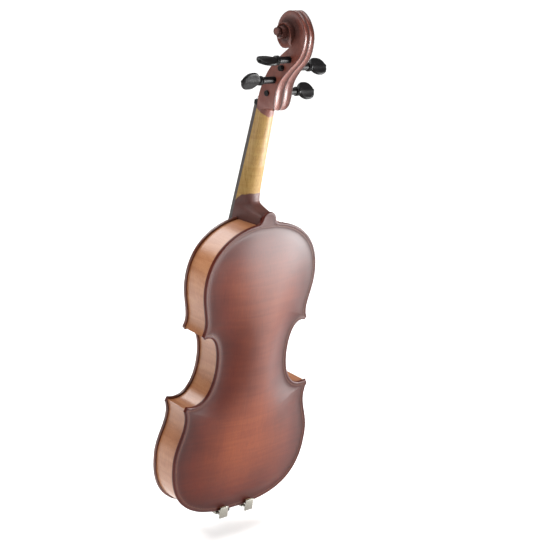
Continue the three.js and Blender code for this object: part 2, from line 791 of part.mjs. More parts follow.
const SADDLE_RISE = 6.5;
const saddleProfile = [
  [-BACK_FACE, 0.4], [-BACK_FACE, SADDLE_LENGTH], [-BACK_EDGE - 2.5, SADDLE_LENGTH],
  [-BACK_EDGE - SADDLE_RISE + 1, 4.6], [-BACK_EDGE - SADDLE_RISE, 2.8],
  [-BACK_EDGE - SADDLE_RISE + 0.8, 1.2], [-BACK_EDGE - SADDLE_RISE + 3, 0.4],
];
add("saddle", prism("yz", saddleProfile, -SADDLE_WIDTH / 2, SADDLE_WIDTH / 2), looks.ebony);

// ---------------------------------------------------------------- bridge
const BRIDGE_FOOT_Y = -BACK_FACE - outerRise(0, BRIDGE_Z, TOP_ARCH);
const BRIDGE_TOP_Y = BRIDGE_FOOT_Y - BRIDGE_HEIGHT;
const BRIDGE_TOP_RADIUS = 42;
const BRIDGE_WAY = [
  [20.5, 1.2], [17.4, 4.2], [15.8, 7.4], [16.4, 10.6], [20, 12.4], [20.4, 14.6], [17.4, 15.6],
  [14.6, 15.6], [13.6, 17.6], [15, 19.6], [18.2, 19.8], [19.4, 21.4], [18.6, 25.6],
];

function bridgeTop(x) {
  return BRIDGE_TOP_Y + BRIDGE_TOP_RADIUS - Math.sqrt(BRIDGE_TOP_RADIUS ** 2 - x ** 2);
}

function bridge() {
  const foot = (x) => -BACK_FACE - outerRise(x, BRIDGE_Z, TOP_ARCH) - GAP;
  const footX = [9.5, 13, 16.5, 20.5];
  const under = [[9, 3.4], [6.4, 7.6], [3, 9.6]].map(([x, h]) => [x, BRIDGE_FOOT_Y - h]);
  const outside = BRIDGE_WAY.map(([x, h]) => [x, BRIDGE_FOOT_Y - h + (h < 2 ? 2.4 : 0)]);
  const crown = [17.6, 12.5, 7.5, 2.5].map((x) => [x, bridgeTop(x)]);
  const half = [...under.toReversed(), ...footX.map((x) => [x, foot(x)]), ...outside, ...crown];
  const points = [...half, ...half.toReversed().map(([x, y]) => [-x, y])];
  const heart = Array.from({ length: 10 }, (_, i) => {
    const angle = (2 * Math.PI * i) / 10;
    return [3 * Math.cos(angle), BRIDGE_FOOT_Y - 19 + 3 * Math.sin(angle)];
  });
  const geometry = prism("xy", points, -0.5, 0.5, [heart]);
  const position = geometry.attributes.position;
  for (let i = 0; i < position.count; i++) {
    const share = (position.getY(i) - BRIDGE_FOOT_Y) / (BRIDGE_TOP_Y - BRIDGE_FOOT_Y);
    position.setZ(i, BRIDGE_Z + position.getZ(i) * (4.4 - 2.9 * Math.max(0, share)));
  }
  return geometry;
}

add("bridge", bridge(), looks.bridge);

// ---------------------------------------------------------------- tailpiece and its gut
const TAILPIECE_LENGTH = 108;
const TAILPIECE_EDGE = 3;
const TAILPIECE_RADIUS = 38;
const TAIL_HOLE_Z = 97;
const TAIL_SPREAD = 29;
const TUNER_X = 13;

function tailTop(x, width) {
  const side = Math.sqrt(TAILPIECE_RADIUS ** 2 - (width / 2) ** 2);
  return -TAILPIECE_EDGE - (Math.sqrt(TAILPIECE_RADIUS ** 2 - x ** 2) - side);
}

const TAIL_WIDTHS = [[0, 20], [30, 25.5], [70, 34], [104, 41], [TAILPIECE_LENGTH, 38]];
const tailHoles = [-TAIL_SPREAD / 2, -TAIL_SPREAD / 6, TAIL_SPREAD / 6].map((x) =>
  rod("y", 1.7, -20, 5, [x, TAIL_HOLE_Z], 10),
);
const tunerWell = box(TUNER_X - 3.2, TUNER_X + 3.2, -20, 5, 84, 101);
const gutHoles = [-5, 5].map((x) => rod("z", 1.5, -2, 14, [x, -2.6], 10));
add(
  "tailpiece",
  cut(
    loft(TAIL_WIDTHS.map(([z, w]) => roundFaced(z, w, TAILPIECE_EDGE, TAILPIECE_RADIUS, 0))),
    ...tailHoles,
    tunerWell,
    ...gutHoles,
  ),
  looks.ebony,
  tailGroup,
);

// A round line through points, with a small number of sides.
function line(points, radius, steps, sides = 8) {
  const path = new THREE.CatmullRomCurve3(
    points.map((p) => new THREE.Vector3(...p)),
    false,
    "centripetal",
  );
  const circle = Array.from({ length: sides }, (_, i) => {
    const angle = (2 * Math.PI * i) / sides;
    return new THREE.Vector2(radius * Math.cos(angle), radius * Math.sin(angle));
  });
  return new THREE.ExtrudeGeometry(new THREE.Shape(circle), { steps, extrudePath: path });
}

const tailPoint = (x, y, z) => new THREE.Vector3(x, y, z).applyMatrix4(tailGroup.matrix).toArray();
const neckPoint = (x, y, z) => new THREE.Vector3(x, y, z).applyMatrix4(neckGroup.matrix).toArray();

const GUT_RADIUS = 1;
const gutHalf = [
  tailPoint(5, -2.6, 11),
  tailPoint(5, -2.6, 4),
  tailPoint(5.2, -1.4, -3),
  [5.8, -BACK_EDGE - SADDLE_RISE - 1.2, 0],
  [6.4, -BACK_EDGE - SADDLE_RISE + 2, -2.9],
  [6.9, -14, -4.4],
  [6.9, -4, -4.8],
  [5, 4.2, -4.8],
  [0, 6.6, -4.8],
];
const gutPath = [...gutHalf, ...gutHalf.slice(0, -1).toReversed().map(([x, y, z]) => [-x, y, z])];
add("tailgut", line(gutPath, GUT_RADIUS, 30, 6), looks.nylon);

// ---------------------------------------------------------------- fine tuner of the e string
const TUNER_HALF = 2.6;
const TUNER_WALL = 1.1;
const TUNER_SCREW_Z = 91.6;
const LEVER_PIVOT = [-7, 97.4];
const tunerCheeks = [-1, 1].flatMap((side) => {
  const xs = [side * TUNER_HALF, side * (TUNER_HALF - TUNER_WALL)].map((x) => TUNER_X + x);
  const [from, to] = [Math.min(...xs), Math.max(...xs)];
  return [box(from, to, -9.6, 0.4, 86, 99.6), box(from, to, -11.6, -9, 86, 91)];
});
const tunerFrame = join(
  box(TUNER_X - TUNER_HALF, TUNER_X + TUNER_HALF, -0.4, 2.2, 85, 100),
  ...tunerCheeks,
  box(TUNER_X - TUNER_HALF, TUNER_X + TUNER_HALF, -11.6, -10.4, 86, 95.4),
  rod("x", 0.5, TUNER_X - TUNER_HALF + 0.1, TUNER_X + TUNER_HALF - 0.1, LEVER_PIVOT, 10),
);
add(
  "fine_tuner_frame",
  cut(tunerFrame, rod("y", 1.35, -13, -9, [TUNER_X, TUNER_SCREW_Z], 12)),
  looks.nickel,
  tailGroup,
);
const tunerLever = join(
  box(TUNER_X - 1.1, TUNER_X + 1.1, -9.2, -5.2, 87, 97.8),
  box(TUNER_X - 1.1, TUNER_X + 1.1, -15.8, -5.2, 96.4, 98.6),
);
add(
  "fine_tuner_lever",
  cut(tunerLever, rod("x", 0.8, TUNER_X - 3, TUNER_X + 3, LEVER_PIVOT, 10)),
  looks.nickel,
  tailGroup,
);
const tunerScrew = new THREE.LatheGeometry(
  [
    [0, 9.6], [0.9, 9.6], [0.9, 13], [1.3, 13.4], [1.3, 14.6], [3.2, 15], [3.4, 15.8], [3.4, 17.6],
    [2.9, 18.2], [0, 18.4],
  ].map(([r, h]) => new THREE.Vector2(r, h)),
  12,
);
const screwMesh = add("fine_tuner_screw", tunerScrew.rotateX(Math.PI), looks.nickel, tailGroup);
screwMesh.position.set(TUNER_X, 0, TUNER_SCREW_Z);

// ---------------------------------------------------------------- strings
const STRINGS = [
  { name: "g", place: -1.5, radius: 0.42 },
  { name: "d", place: -0.5, radius: 0.4 },
  { name: "a", place: 0.5, radius: 0.36 },
  { name: "e", place: 1.5, radius: 0.25 },
];
const STRING_CLEARANCE = 0.2;

// A string runs straight between its points and keeps its width at each turn.
function stringSolid(points, radius) {
  const rings = points.map((point, i) => {
    const before = new THREE.Vector3(...(points[i - 1] ?? point));
    const along = new THREE.Vector3(...(points[i + 1] ?? point)).sub(before).normalize();
    const side = new THREE.Vector3(1, 0, 0).addScaledVector(along, -along.x).normalize();
    const up = new THREE.Vector3().crossVectors(along, side);
    return Array.from({ length: 6 }, (_, k) =>
      new THREE.Vector3(...point)
        .addScaledVector(side, radius * Math.cos((Math.PI * k) / 3))
        .addScaledVector(up, radius * Math.sin((Math.PI * k) / 3))
        .toArray(),
    );
  });
  return loft(rings);
}

// Where a straight line from a point, in y and z, meets the front of a round peg.
function tangentPoint([y, z], peg, radius) {
  const [dy, dz] = [peg.y - y, peg.z - z];
  const distance = Math.hypot(dy, dz);
  const reach = Math.sqrt(distance ** 2 - radius ** 2);
  const angle = Math.atan2(dz, dy) + Math.asin(radius / distance);
  return [y + reach * Math.cos(angle), z + reach * Math.sin(angle)];
}

for (const { name, place, radius } of STRINGS) {
  const above = radius + STRING_CLEARANCE;
  const bridgeX = (STRING_SPREAD_BRIDGE / 3) * place;
  const nutX = (STRING_SPREAD_NUT / 3) * place;
  const nutSide = Math.sqrt(FINGERBOARD_RADIUS ** 2 - (NUT_WIDTH / 2) ** 2);
  const nutRise = Math.sqrt(FINGERBOARD_RADIUS ** 2 - nutX ** 2) - nutSide;
  const nutY = -0.15 - FINGERBOARD_EDGE - NUT_RISE - nutRise - above;
  const nutEnd = NECK_LENGTH + NUT_LENGTH + 0.4;
  const peg = PEGS.find((p) => p.string === name);
  const pegX = nutX * 0.5 + peg.side;
  const [pegY, pegZ] = tangentPoint([nutY + 0.2, nutEnd], peg, PEG_RADIUS_THICK + above);
  const tailX = (TAIL_SPREAD / 3) * place;
  const tailEnd = {
    hook: [tailPoint(TUNER_X, -16.6, 99.2), tailPoint(TUNER_X, -16.5, 104)],
    hole: [
      tailPoint(tailX, tailTop(tailX, 41) + 3, TAIL_HOLE_Z),
      tailPoint(tailX, tailTop(tailX, 41) - above - 0.4, TAIL_HOLE_Z + 0.9),
      tailPoint(tailX, tailTop(tailX, 38) - above - 0.8, TAILPIECE_LENGTH + 1),
    ],
  }[name === "e" ? "hook" : "hole"];
  const points = [
    ...tailEnd,
    [bridgeX, bridgeTop(bridgeX) - above, BRIDGE_Z],
    neckPoint(nutX, nutY, NECK_LENGTH),
    neckPoint(nutX, nutY + 0.2, nutEnd),
    neckPoint(pegX, pegY, pegZ),
  ];
  add(`string_${name}`, stringSolid(points, radius), looks.silver);
}

// ---------------------------------------------------------------- chin rest and clamps
const REST_UNDER = -38.6;
const REST_RIM = -46;
const CORK_THICKNESS = 1.6;
const restOutline = new THREE.Path()
  .moveTo(30, 12)
  .bezierCurveTo(34, 4, 34, -10, 22, -10.5)
  .bezierCurveTo(0, -12, -30, -11, -50, -3)
  .bezierCurveTo(-84, 8, -104, 28, -99, 46)
  .bezierCurveTo(-94, 66, -60, 72, -40, 58)
  .bezierCurveTo(-26, 48, -24, 24, -10, 19)
  .bezierCurveTo(6, 13, 22, 24, 30, 12);
const restPoints = restOutline
  .getPoints(7)
  .map(({ x, y }) => [x, y])
  .filter(([x, z], i, all) => i === 0 || Math.hypot(x - all[i - 1][0], z - all[i - 1][1]) > 0.1)
  .slice(0, -1);
const dish = new THREE.SphereGeometry(1, 24, 12).scale(42, 9, 31).rotateY(0.5);
dish.translate(-58, REST_RIM - 3.2, 31);
const restFeet = [
  [-48, -18],
  [18, 30],
].map(([from, to]) => box(from, to, REST_UNDER - 1, -BACK_EDGE - CORK_THICKNESS, 0.6, 8.4));
add(
  "chin_rest",
  cut(join(prism("xz", restPoints, REST_RIM, REST_UNDER), ...restFeet), dish),
  looks.boxed,
);

const CORK_SPAN = { bass: [-47.5, -18.5], treble: [18.5, 29.5] };
const BARREL_HALF = 11;
const ROD_RADIUS = 1.9;
const FOOT_CORK = 1.5;

for (const [side, sign] of SIDES) {
  const x = CLAMP_X * sign;
  const [from, to] = CORK_SPAN[side];
  const lift = 0.25;
  add(
    `chin_rest_cork_${side}`,
    box(from, to, -BACK_EDGE - CORK_THICKNESS, -BACK_EDGE - lift, 1, 6),
    looks.cork,
  );
  add(
    `clamp_leg_${side}`,
    join(
      rod("y", ROD_RADIUS, REST_UNDER + 0.6, -1, [x, CLAMP_Z], 12),
      box(x - 5.5, x + 5.5, REST_UNDER, REST_UNDER + 1.6, -9.5, 0),
    ),
    looks.nickel,
  );
  const barrelWall = [
    [ROD_RADIUS + 0.35, -BARREL_HALF], [3.2, -BARREL_HALF], [3.5, -BARREL_HALF + 0.6],
    [3.5, BARREL_HALF - 0.6], [3.2, BARREL_HALF], [ROD_RADIUS + 0.35, BARREL_HALF],
    [ROD_RADIUS + 0.35, -BARREL_HALF],
  ].map(([r, y]) => new THREE.Vector2(r, y));
  const barrel = add(
    `clamp_barrel_${side}`,
    cut(
      new THREE.LatheGeometry(barrelWall, 12),
      rod("z", 0.9, -6, 6, [0, 0], 8),
      rod("x", 0.9, -6, 6, [0, 3], 8).translate(0, -3, -3),
    ),
    looks.nickel,
  );
  barrel.position.set(x, 0, CLAMP_Z);
  add(
    `clamp_foot_${side}`,
    join(
      rod("y", ROD_RADIUS, 1, BACK_EDGE + FOOT_CORK + 1, [x, CLAMP_Z], 12),
      box(x - 6, x + 6, BACK_EDGE + FOOT_CORK, BACK_EDGE + FOOT_CORK + 1.7, -7.6, 6.4),
    ),
    looks.nickel,
  );
}

export default root;
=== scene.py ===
# %% [markdown]
# # A violin seen from behind
# The jointed model gives the fixed frame: where each part is and what it moves with. This lesson
# builds the surfaces that the eye sees around it. First the frame is loaded.

# %% Load the frame
import math

import bpy
import numpy as np
from mathutils import Matrix, Vector


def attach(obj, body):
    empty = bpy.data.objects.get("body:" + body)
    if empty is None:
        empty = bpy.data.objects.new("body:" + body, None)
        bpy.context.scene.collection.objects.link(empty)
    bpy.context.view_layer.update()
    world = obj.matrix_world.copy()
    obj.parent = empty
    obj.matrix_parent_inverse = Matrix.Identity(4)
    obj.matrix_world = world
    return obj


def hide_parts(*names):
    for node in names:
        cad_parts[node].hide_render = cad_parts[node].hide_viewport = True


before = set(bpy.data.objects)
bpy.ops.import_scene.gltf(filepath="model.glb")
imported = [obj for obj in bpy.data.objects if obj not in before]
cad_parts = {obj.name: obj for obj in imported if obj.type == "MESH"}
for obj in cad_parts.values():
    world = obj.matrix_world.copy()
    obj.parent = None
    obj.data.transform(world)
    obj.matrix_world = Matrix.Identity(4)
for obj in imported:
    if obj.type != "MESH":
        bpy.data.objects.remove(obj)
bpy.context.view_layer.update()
bpy.ops.object.select_all(action="DESELECT")

# %% [markdown]
# The picture is taken from behind and above, a little to the treble side, with a long lens, so
# that the lines stay nearly parallel. The camera comes first, because it decides which surfaces
# deserve the most care.

# %% Camera
bpy.ops.object.camera_add(
    location=(1.1335, 1.1875, 0.8281),
    rotation=[math.radians(a) for a in (71.601, -6.778, 137.417)],
)
camera = bpy.context.object
camera.data.lens = 96.9
camera.data.sensor_width = 36.0
bpy.context.scene.camera = camera

# %% [markdown]
# Varnish is judged by what it mirrors. One strong soft light stands low at the right, where the
# back mirrors it as a pale veil. A second one hangs over the top end for the ribs, a weak one fills
# from the treble side, and one shines down on the floor at the right, which the back mirrors too.
# A broad light from straight above makes the paper on the floor white, and hardly touches upright
# surfaces. The sky is kept dim, so that dark wood stays dark.

# %% Lights, sky and floor
LOOK_AT = Vector((0.0, 0.0, 0.28))


def soft_light(name, place, size, power):
    """A rectangular studio light that faces the violin and is not seen itself."""
    bpy.ops.object.light_add(type="AREA", location=place)
    light = bpy.context.object
    light.name = name
    light.data.shape = "RECTANGLE"
    light.data.size, light.data.size_y = size
    light.data.energy = power
    light.rotation_euler = (LOOK_AT - light.location).to_track_quat("-Z", "Y").to_euler()
    light.visible_camera = False
    return light


soft_light("softbox_right", (-1.52, 1.14, 0.15), (1.1, 1.1), 145.0)
soft_light("softbox_overhead", (0.2, -1.1, 1.5), (1.3, 1.0), 22.0)
soft_light("softbox_treble_side", (1.7, 0.1, 0.55), (0.9, 1.4), 11.0)
floor_light = soft_light("floor_light_right", (-1.1, 0.95, 0.9), (1.2, 1.0), 14.0)
floor_light.rotation_euler = (0.0, 0.0, 0.0)

bpy.ops.object.light_add(type="SUN", location=(0.0, 0.0, 3.0))
above = bpy.context.object
above.name = "even_light_from_above"
above.data.energy = 2.9
above.data.angle = math.radians(45.0)

world = bpy.data.worlds.new("white_studio")
bpy.context.scene.world = world
world.use_nodes = True
world.node_tree.nodes["Background"].inputs["Color"].default_value = (1.0, 1.0, 1.0, 1.0)
world.node_tree.nodes["Background"].inputs["Strength"].default_value = 0.25
bpy.context.scene.view_settings.view_transform = "Standard"

FLOOR_HEIGHT = -0.045
bpy.ops.mesh.primitive_plane_add(size=60.0, location=(0.0, 0.0, FLOOR_HEIGHT))
floor = bpy.context.object
floor.name = "floor"

# %% [markdown]
# Every finish is a small tree of nodes. Two helpers carry the rest: one turns a colour from the
# usual hex code into the linear light that the renderer works in, and one adds a node with its
# settings and links. The others name what such nodes do. A pattern's size is in millimetres.

# %% Helpers for finishes
MM = 0.001


def colour(code):
    """An sRGB hex code as a linear RGBA colour."""
    parts = [int(code[i : i + 2], 16) / 255 for i in (1, 3, 5)]
    return (*[c / 12.92 if c <= 0.04045 else ((c + 0.055) / 1.055) ** 2.4 for c in parts], 1.0)


def node(tree, kind, settings=None, values=None, links=None):
    """Adds a node: settings are its own options, values fill sockets, links join sockets."""
    made = tree.nodes.new(kind)
    for key, value in (settings or {}).items():
        setattr(made, key, value)
    for key, value in (values or {}).items():
        made.inputs[key].default_value = value
    for key, source in (links or {}).items():
        tree.links.new(source, made.inputs[key])
    return made


def finish(name, **sockets):
    """A new material and its tree, with these values on the shader's own sockets."""
    made = bpy.data.materials.new(name)
    made.use_nodes = True
    shader = made.node_tree.nodes["Principled BSDF"]
    for key, value in sockets.items():
        shader.inputs[key if key == "IOR" else key.replace("_", " ").title()].default_value = value
    return made, made.node_tree, shader


def placed(tree, scale, turn=(0.0, 0.0, 0.0)):
    """Object coordinates, scaled so that one unit of a pattern is the given size in millimetres."""
    place = node(tree, "ShaderNodeTexCoord")
    return node(
        tree, "ShaderNodeMapping",
        values={"Scale": [1 / (s * MM) for s in scale], "Rotation": turn},
        links={"Vector": place.outputs["Object"]},
    ).outputs["Vector"]


def noise(tree, vector, detail=3.0, roughness=0.5, distortion=0.0):
    """A soft random pattern, one bump to a unit of the vector."""
    return node(
        tree, "ShaderNodeTexNoise",
        values={"Scale": 1.0, "Detail": detail, "Roughness": roughness, "Distortion": distortion},
        links={"Vector": vector},
    ).outputs["Fac"]


def ramp(tree, value, stops):
    """Colours along a value, given as pairs of place and hex code."""
    made = node(tree, "ShaderNodeValToRGB", links={"Fac": value})
    steps = made.color_ramp.elements
    while len(steps) < len(stops):
        steps.new(0.5)
    for step, (place, code) in zip(steps, stops):
        step.position = place
        step.color = colour(code)
    return made.outputs["Color"]


def spread(tree, value, low, high, to_low=0.0, to_high=1.0):
    """Maps a value from one range to another and stops at its ends."""
    return node(
        tree, "ShaderNodeMapRange",
        values={"From Min": low, "From Max": high, "To Min": to_low, "To Max": to_high},
        links={"Value": value},
    ).outputs["Result"]


def blended(tree, share, below, above, kind="MIX"):
    """Two colours mixed by a share, or multiplied."""
    made = node(tree, "ShaderNodeMix", {"data_type": "RGBA", "blend_type": kind})
    for place, source in ((0, share), (6, below), (7, above)):
        socket = made.inputs[place]
        if isinstance(source, (float, tuple)):
            socket.default_value = source
        else:
            tree.links.new(source, socket)
    return made.outputs[2]


def attribute(tree, name):
    """A value that the mesh carries at its points."""
    return node(tree, "ShaderNodeAttribute", {"attribute_name": name}).outputs["Fac"]


def painted(tree, shader, source):
    """Gives the shader this colour."""
    tree.links.new(source, shader.inputs["Base Color"])


def bumped(tree, shader, height, depth, strength=1.0):
    """Raises the surface by a pattern, depth in millimetres."""
    made = node(
        tree, "ShaderNodeBump",
        values={"Distance": depth * MM, "Strength": strength}, links={"Height": height},
    )
    tree.links.new(made.outputs["Normal"], shader.inputs["Normal"])


def grained(name, size, stops, relief=None, gloss=None, detail=3.0, crisp=0.5, **sockets):
    """A finish whose colour follows one noise, and where given its relief and roughness too."""
    made, tree, shader = finish(name, **sockets)
    grain = noise(tree, placed(tree, size), detail, crisp)
    painted(tree, shader, ramp(tree, grain, stops))
    if gloss:
        tree.links.new(spread(tree, grain, 0.2, 0.8, *gloss), shader.inputs["Roughness"])
    if relief:
        bumped(tree, shader, grain, *relief)
    return made


# %% [markdown]
# The floor is matt paper: white, with the faintest grain.

# %% Floor finish
floor.data.materials.append(grained(
    "matt_white_paper", (30.0, 30.0, 30.0), [(0.0, "#f6f6f6"), (1.0, "#fbfbfb")], roughness=0.9,
))

# %% [markdown]
# Maple under spirit varnish. The wood has a flame: soft bands across the grain, where the fibres
# rise and fall. The varnish is red-brown. On the back the colour runs from a warm brown in the
# middle to a dark brown near the rim, partly darker varnish and partly painted shade, and a thin
# painted highlight lies on the rounded edge itself. It is rubbed to a satin sheen, so the back is
# fairly rough and reflects little at each point. The ribs have a clear coat as well. Each plate
# carries an attribute that says how far a point lies from the edge.


# %% Varnished maple
def flame(tree, across, along, wild=1.2):
    """The bands of flamed maple; the vector's scales set their spacing."""
    wavy = noise(tree, placed(tree, across, along), detail=2.0, distortion=wild)
    return spread(tree, wavy, 0.36, 0.64)


def varnished_maple(name, stops, rim_darkening_and_highlight, flame_scale, flame_turn, flame_depth, sheen):
    """Flamed maple along a slow pattern; with rim stops, darker toward the rim by varnish and
    painted shade, with a painted highlight on the edge; sheen is sockets.
    """
    made, tree, shader = finish(name, **sheen)
    cloud = noise(tree, placed(tree, (70.0, 60.0, 120.0)), detail=2.0)
    base = ramp(tree, cloud, stops)
    bands = flame(tree, flame_scale, flame_turn)
    fibre = noise(tree, placed(tree, (0.7, 0.7, 22.0)), detail=4.0, roughness=0.6)
    for pattern, shade in (
        (bands, [(0.0, flame_depth), (1.0, "#ffffff")]),
        (fibre, [(0.25, "#d9d0cc"), (0.7, "#ffffff")]),
    ):
        base = blended(tree, 1.0, base, ramp(tree, pattern, shade), "MULTIPLY")
    # Toward the rim: darker varnish together with painted shade, and a painted highlight on the
    # very edge.
    if rim_darkening_and_highlight:
        shade = ramp(tree, attribute(tree, "inward"), rim_darkening_and_highlight)
        base = blended(tree, 1.0, base, shade, "MULTIPLY")
    painted(tree, shader, base)
    bumped(tree, shader, fibre, 0.02, 0.5)
    return made


back_varnish = varnished_maple(
    "flamed_maple_red_brown_varnish",
    [(0.30, "#5a250e"), (0.52, "#693015"), (0.72, "#763b1a")],
    # Rim stops: a painted highlight on the very edge, then a dark rim of varnish and painted shade.
    [(0.0, "#b8826c"), (0.02, "#9c6a58"), (0.1, "#8e5c48"), (0.4, "#c2977f"), (0.9, "#ffffff")],
    (90.0, 60.0, 6.5), (0.0, 0.12, 0.0), "#eee2dc", {"roughness": 0.38, "IOR": 1.28},
)
rib_varnish = varnished_maple(
    "flamed_maple_honey_varnish",
    [(0.30, "#8a5a3a"), (0.55, "#9c6a46"), (0.75, "#a97752")],
    None, (7.0, 70.0, 9.0), (0.0, 0.0, 0.0), "#ebdfd2",
    {"roughness": 0.36, "coat_weight": 0.4, "coat_roughness": 0.22, "IOR": 1.5},
)

# %% [markdown]
# The top is spruce, with fine straight lines of late wood along its length, a millimetre or two
# apart: a noise that is stretched along the grain. Under the varnish the wood turns amber.

# %% Spruce, bare maple, ebony and the rest
top_varnish, tree, shader = finish(
    "spruce_amber_varnish", roughness=0.32, coat_weight=0.35, coat_roughness=0.16, IOR=1.5,
)
rings = noise(tree, placed(tree, (1.0, 30.0, 200.0)), detail=1.0)
cloud = noise(tree, placed(tree, (60.0, 60.0, 90.0)), detail=2.0)
wood = ramp(tree, cloud, [(0.3, "#8a4a1e"), (0.6, "#a9642a"), (0.8, "#b87433")])
lines = ramp(tree, rings, [(0.40, "#ffffff"), (0.64, "#caa787")])
shaded = ramp(
    tree, attribute(tree, "inward"),
    [(0.0, "#7d5b4c"), (0.08, "#a68b7c"), (0.5, "#e2d6cc"), (1.0, "#ffffff")],
)
for pattern in (lines, shaded):
    wood = blended(tree, 1.0, wood, pattern, "MULTIPLY")
painted(tree, shader, wood)
bumped(tree, shader, rings, 0.03, 0.5)

spruce = grained(
    "planed_spruce", (1.6, 30.0, 120.0), [(0.35, "#e0c795"), (0.65, "#bf9a63")],
    (0.03, 0.5), detail=2.0, roughness=0.75,
)

# The neck is left bare between its varnished ends, and the attribute "varnish" is the distance to
# that line in centimetres, so that the line stays sharp between the mesh's points.
neck_maple, tree, shader = finish("oiled_maple_neck", roughness=0.36, IOR=1.42)
fibre = noise(tree, placed(tree, (0.8, 0.8, 26.0)), detail=4.0, roughness=0.6)
bands = flame(tree, (60.0, 40.0, 4.0), (0.1, 0.0, 0.0), 0.8)
flecks = noise(tree, placed(tree, (0.9, 0.9, 3.2)), detail=2.0)
bare = ramp(tree, fibre, [(0.3, "#7c5f2a"), (0.7, "#967942")])
for pattern, shade in (
    (bands, [(0.0, "#f3eadb"), (1.0, "#ffffff")]),
    (flecks, [(0.60, "#ffffff"), (0.72, "#dcc49e")]),
):
    bare = blended(tree, 1.0, bare, ramp(tree, pattern, shade), "MULTIPLY")
stain = ramp(
    tree, noise(tree, placed(tree, (20.0, 20.0, 35.0)), detail=2.0),
    [(0.3, "#5e3027"), (0.7, "#744338")],
)
lined = ramp(tree, fibre, [(0.25, "#cdbfba"), (0.7, "#ffffff")])
stain = blended(tree, 1.0, stain, lined, "MULTIPLY")
# The dark attribute makes the heel's varnish darker. On the head it carries painted shade: dark
# lines along the flutes' sharp edges and spine, and the shaded hollow floor of the volute.
dark = attribute(tree, "dark")
stain = blended(tree, dark, stain, colour("#2a0d08"))
wander = node(  # the brush wanders by a millimetre or so
    tree, "ShaderNodeMath", {"operation": "MULTIPLY_ADD"}, values={1: 0.25, 2: -0.125},
    links={0: noise(tree, placed(tree, (4.0, 4.0, 4.0)))},
).outputs["Value"]
edge = node(
    tree, "ShaderNodeMath", {"operation": "ADD"},
    links={0: wander, 1: attribute(tree, "varnish")},
).outputs["Value"]
share = spread(tree, edge, -0.04, 0.06)
painted(tree, shader, blended(tree, share, bare, stain))
gloss = spread(tree, share, 0.0, 1.0, 0.42, 0.3)
dull = node(
    tree, "ShaderNodeMath", {"operation": "MULTIPLY_ADD", "use_clamp": True}, values={1: 0.45},
    links={0: dark, 2: gloss},
).outputs["Value"]
tree.links.new(dull, shader.inputs["Roughness"])
bumped(tree, shader, fibre, 0.02, 0.5)

# Ebony is nearly black, with short pores and a dull polish from the hand.
ebony = grained(
    "polished_ebony", (0.5, 0.5, 7.0), [(0.3, "#050405"), (0.6, "#0c0a0b"), (0.8, "#181315")],
    (0.02, 0.2), (0.32, 0.46), detail=4.0, crisp=0.65, IOR=1.24,
)

# The fingerboard's edge is planed, not polished, and looks greyer.
planed_ebony = grained(
    "planed_ebony", (0.6, 0.6, 14.0), [(0.3, "#2a2422"), (0.6, "#3d3633"), (0.8, "#4d4541")],
    (0.03, 0.6), detail=4.0, crisp=0.65, roughness=0.5, IOR=1.5,
)
chin_rest_ebony = grained(
    "polished_chin_rest_ebony", (7.0, 0.6, 0.6),
    [(0.3, "#100c0b"), (0.6, "#231a17"), (0.8, "#35271f")],
    (0.03, 0.5), detail=4.0, crisp=0.65, roughness=0.3, IOR=1.5,
)
bridge_maple = grained(
    "planed_bridge_maple", (1.6, 3.0, 0.5),
    [(0.35, "#c6955a"), (0.55, "#d9b27a"), (0.7, "#b07c44")], (0.02, 0.5), roughness=0.5,
)
nickel = grained(
    "nickel_plated_brass", (0.6, 6.0, 0.6), [(0.3, "#716f67"), (0.7, "#96938a")],
    gloss=(0.16, 0.30), metallic=1.0,
)
nylon = grained(
    "black_nylon_cord", (0.6, 0.6, 0.6), [(0.3, "#0e0e0f"), (0.7, "#1e1e20")],
    (0.03, 0.5), roughness=0.45,
)

cork, tree, shader = finish("pressed_cork", roughness=0.85)
cells = node(
    tree, "ShaderNodeTexVoronoi", values={"Scale": 1.0},
    links={"Vector": placed(tree, (1.1, 1.1, 1.1))},
).outputs["Distance"]
painted(tree, shader, ramp(tree, cells, [(0.1, "#8c6a45"), (0.4, "#c9a67a"), (0.8, "#dcc096")]))
bumped(tree, shader, cells, 0.1, 0.6)

# A wound string is flat silver ribbon on a core: the turns are drawn as rings 0.5 mm apart.
wound_silver, tree, shader = finish("wound_silver_string", roughness=0.32, metallic=1.0)
turns = node(
    tree, "ShaderNodeTexWave", {"bands_direction": "Z"}, values={"Scale": 0.314, "Distortion": 0.0},
    links={"Vector": placed(tree, (0.5, 0.5, 0.5))},
).outputs["Fac"]
painted(tree, shader, ramp(tree, turns, [(0.1, "#7e7c78"), (0.5, "#c4c2bd")]))
bumped(tree, shader, turns, 0.03, 0.6)

print(len(bpy.data.materials), "finishes")

# %% [markdown]
# Most of the violin is carved, not turned or moulded. Its plates, ribs and head are therefore made
# as skins through many section lines, in millimetres, and one helper turns the points and faces
# into a clean piece: doubles merged, normals outwards, and shaded smooth except at sharp edges.
# The treble side is the one toward positive x.


# %% Helpers for pieces
SIDES = {"treble": 1, "bass": -1}


def pick(*pieces):
    """Selects only these pieces, the first one active."""
    bpy.ops.object.select_all(action="DESELECT")
    for piece in pieces:
        piece.select_set(True)
    bpy.context.view_layer.objects.active = pieces[0]


def joined(*parts):
    """Several parts as one piece, named after the first."""
    pick(*parts)
    bpy.ops.object.join()
    return parts[0]


def smoothed(piece, crease):
    """Shades a piece smooth, except at edges sharper than the crease in degrees."""
    pick(piece)
    bpy.ops.object.shade_smooth_by_angle(angle=math.radians(crease))
    return piece


def cleaned(piece, crease):
    """Merges doubles, turns the faces outwards and smooths all but sharp edges."""
    pick(piece)
    bpy.ops.object.mode_set(mode="EDIT")
    bpy.ops.mesh.select_all(action="SELECT")
    bpy.ops.mesh.remove_doubles(threshold=2e-6)
    bpy.ops.mesh.dissolve_degenerate(threshold=1e-6)
    bpy.ops.mesh.normals_make_consistent(inside=False)
    bpy.ops.object.mode_set(mode="OBJECT")
    return smoothed(piece, crease)


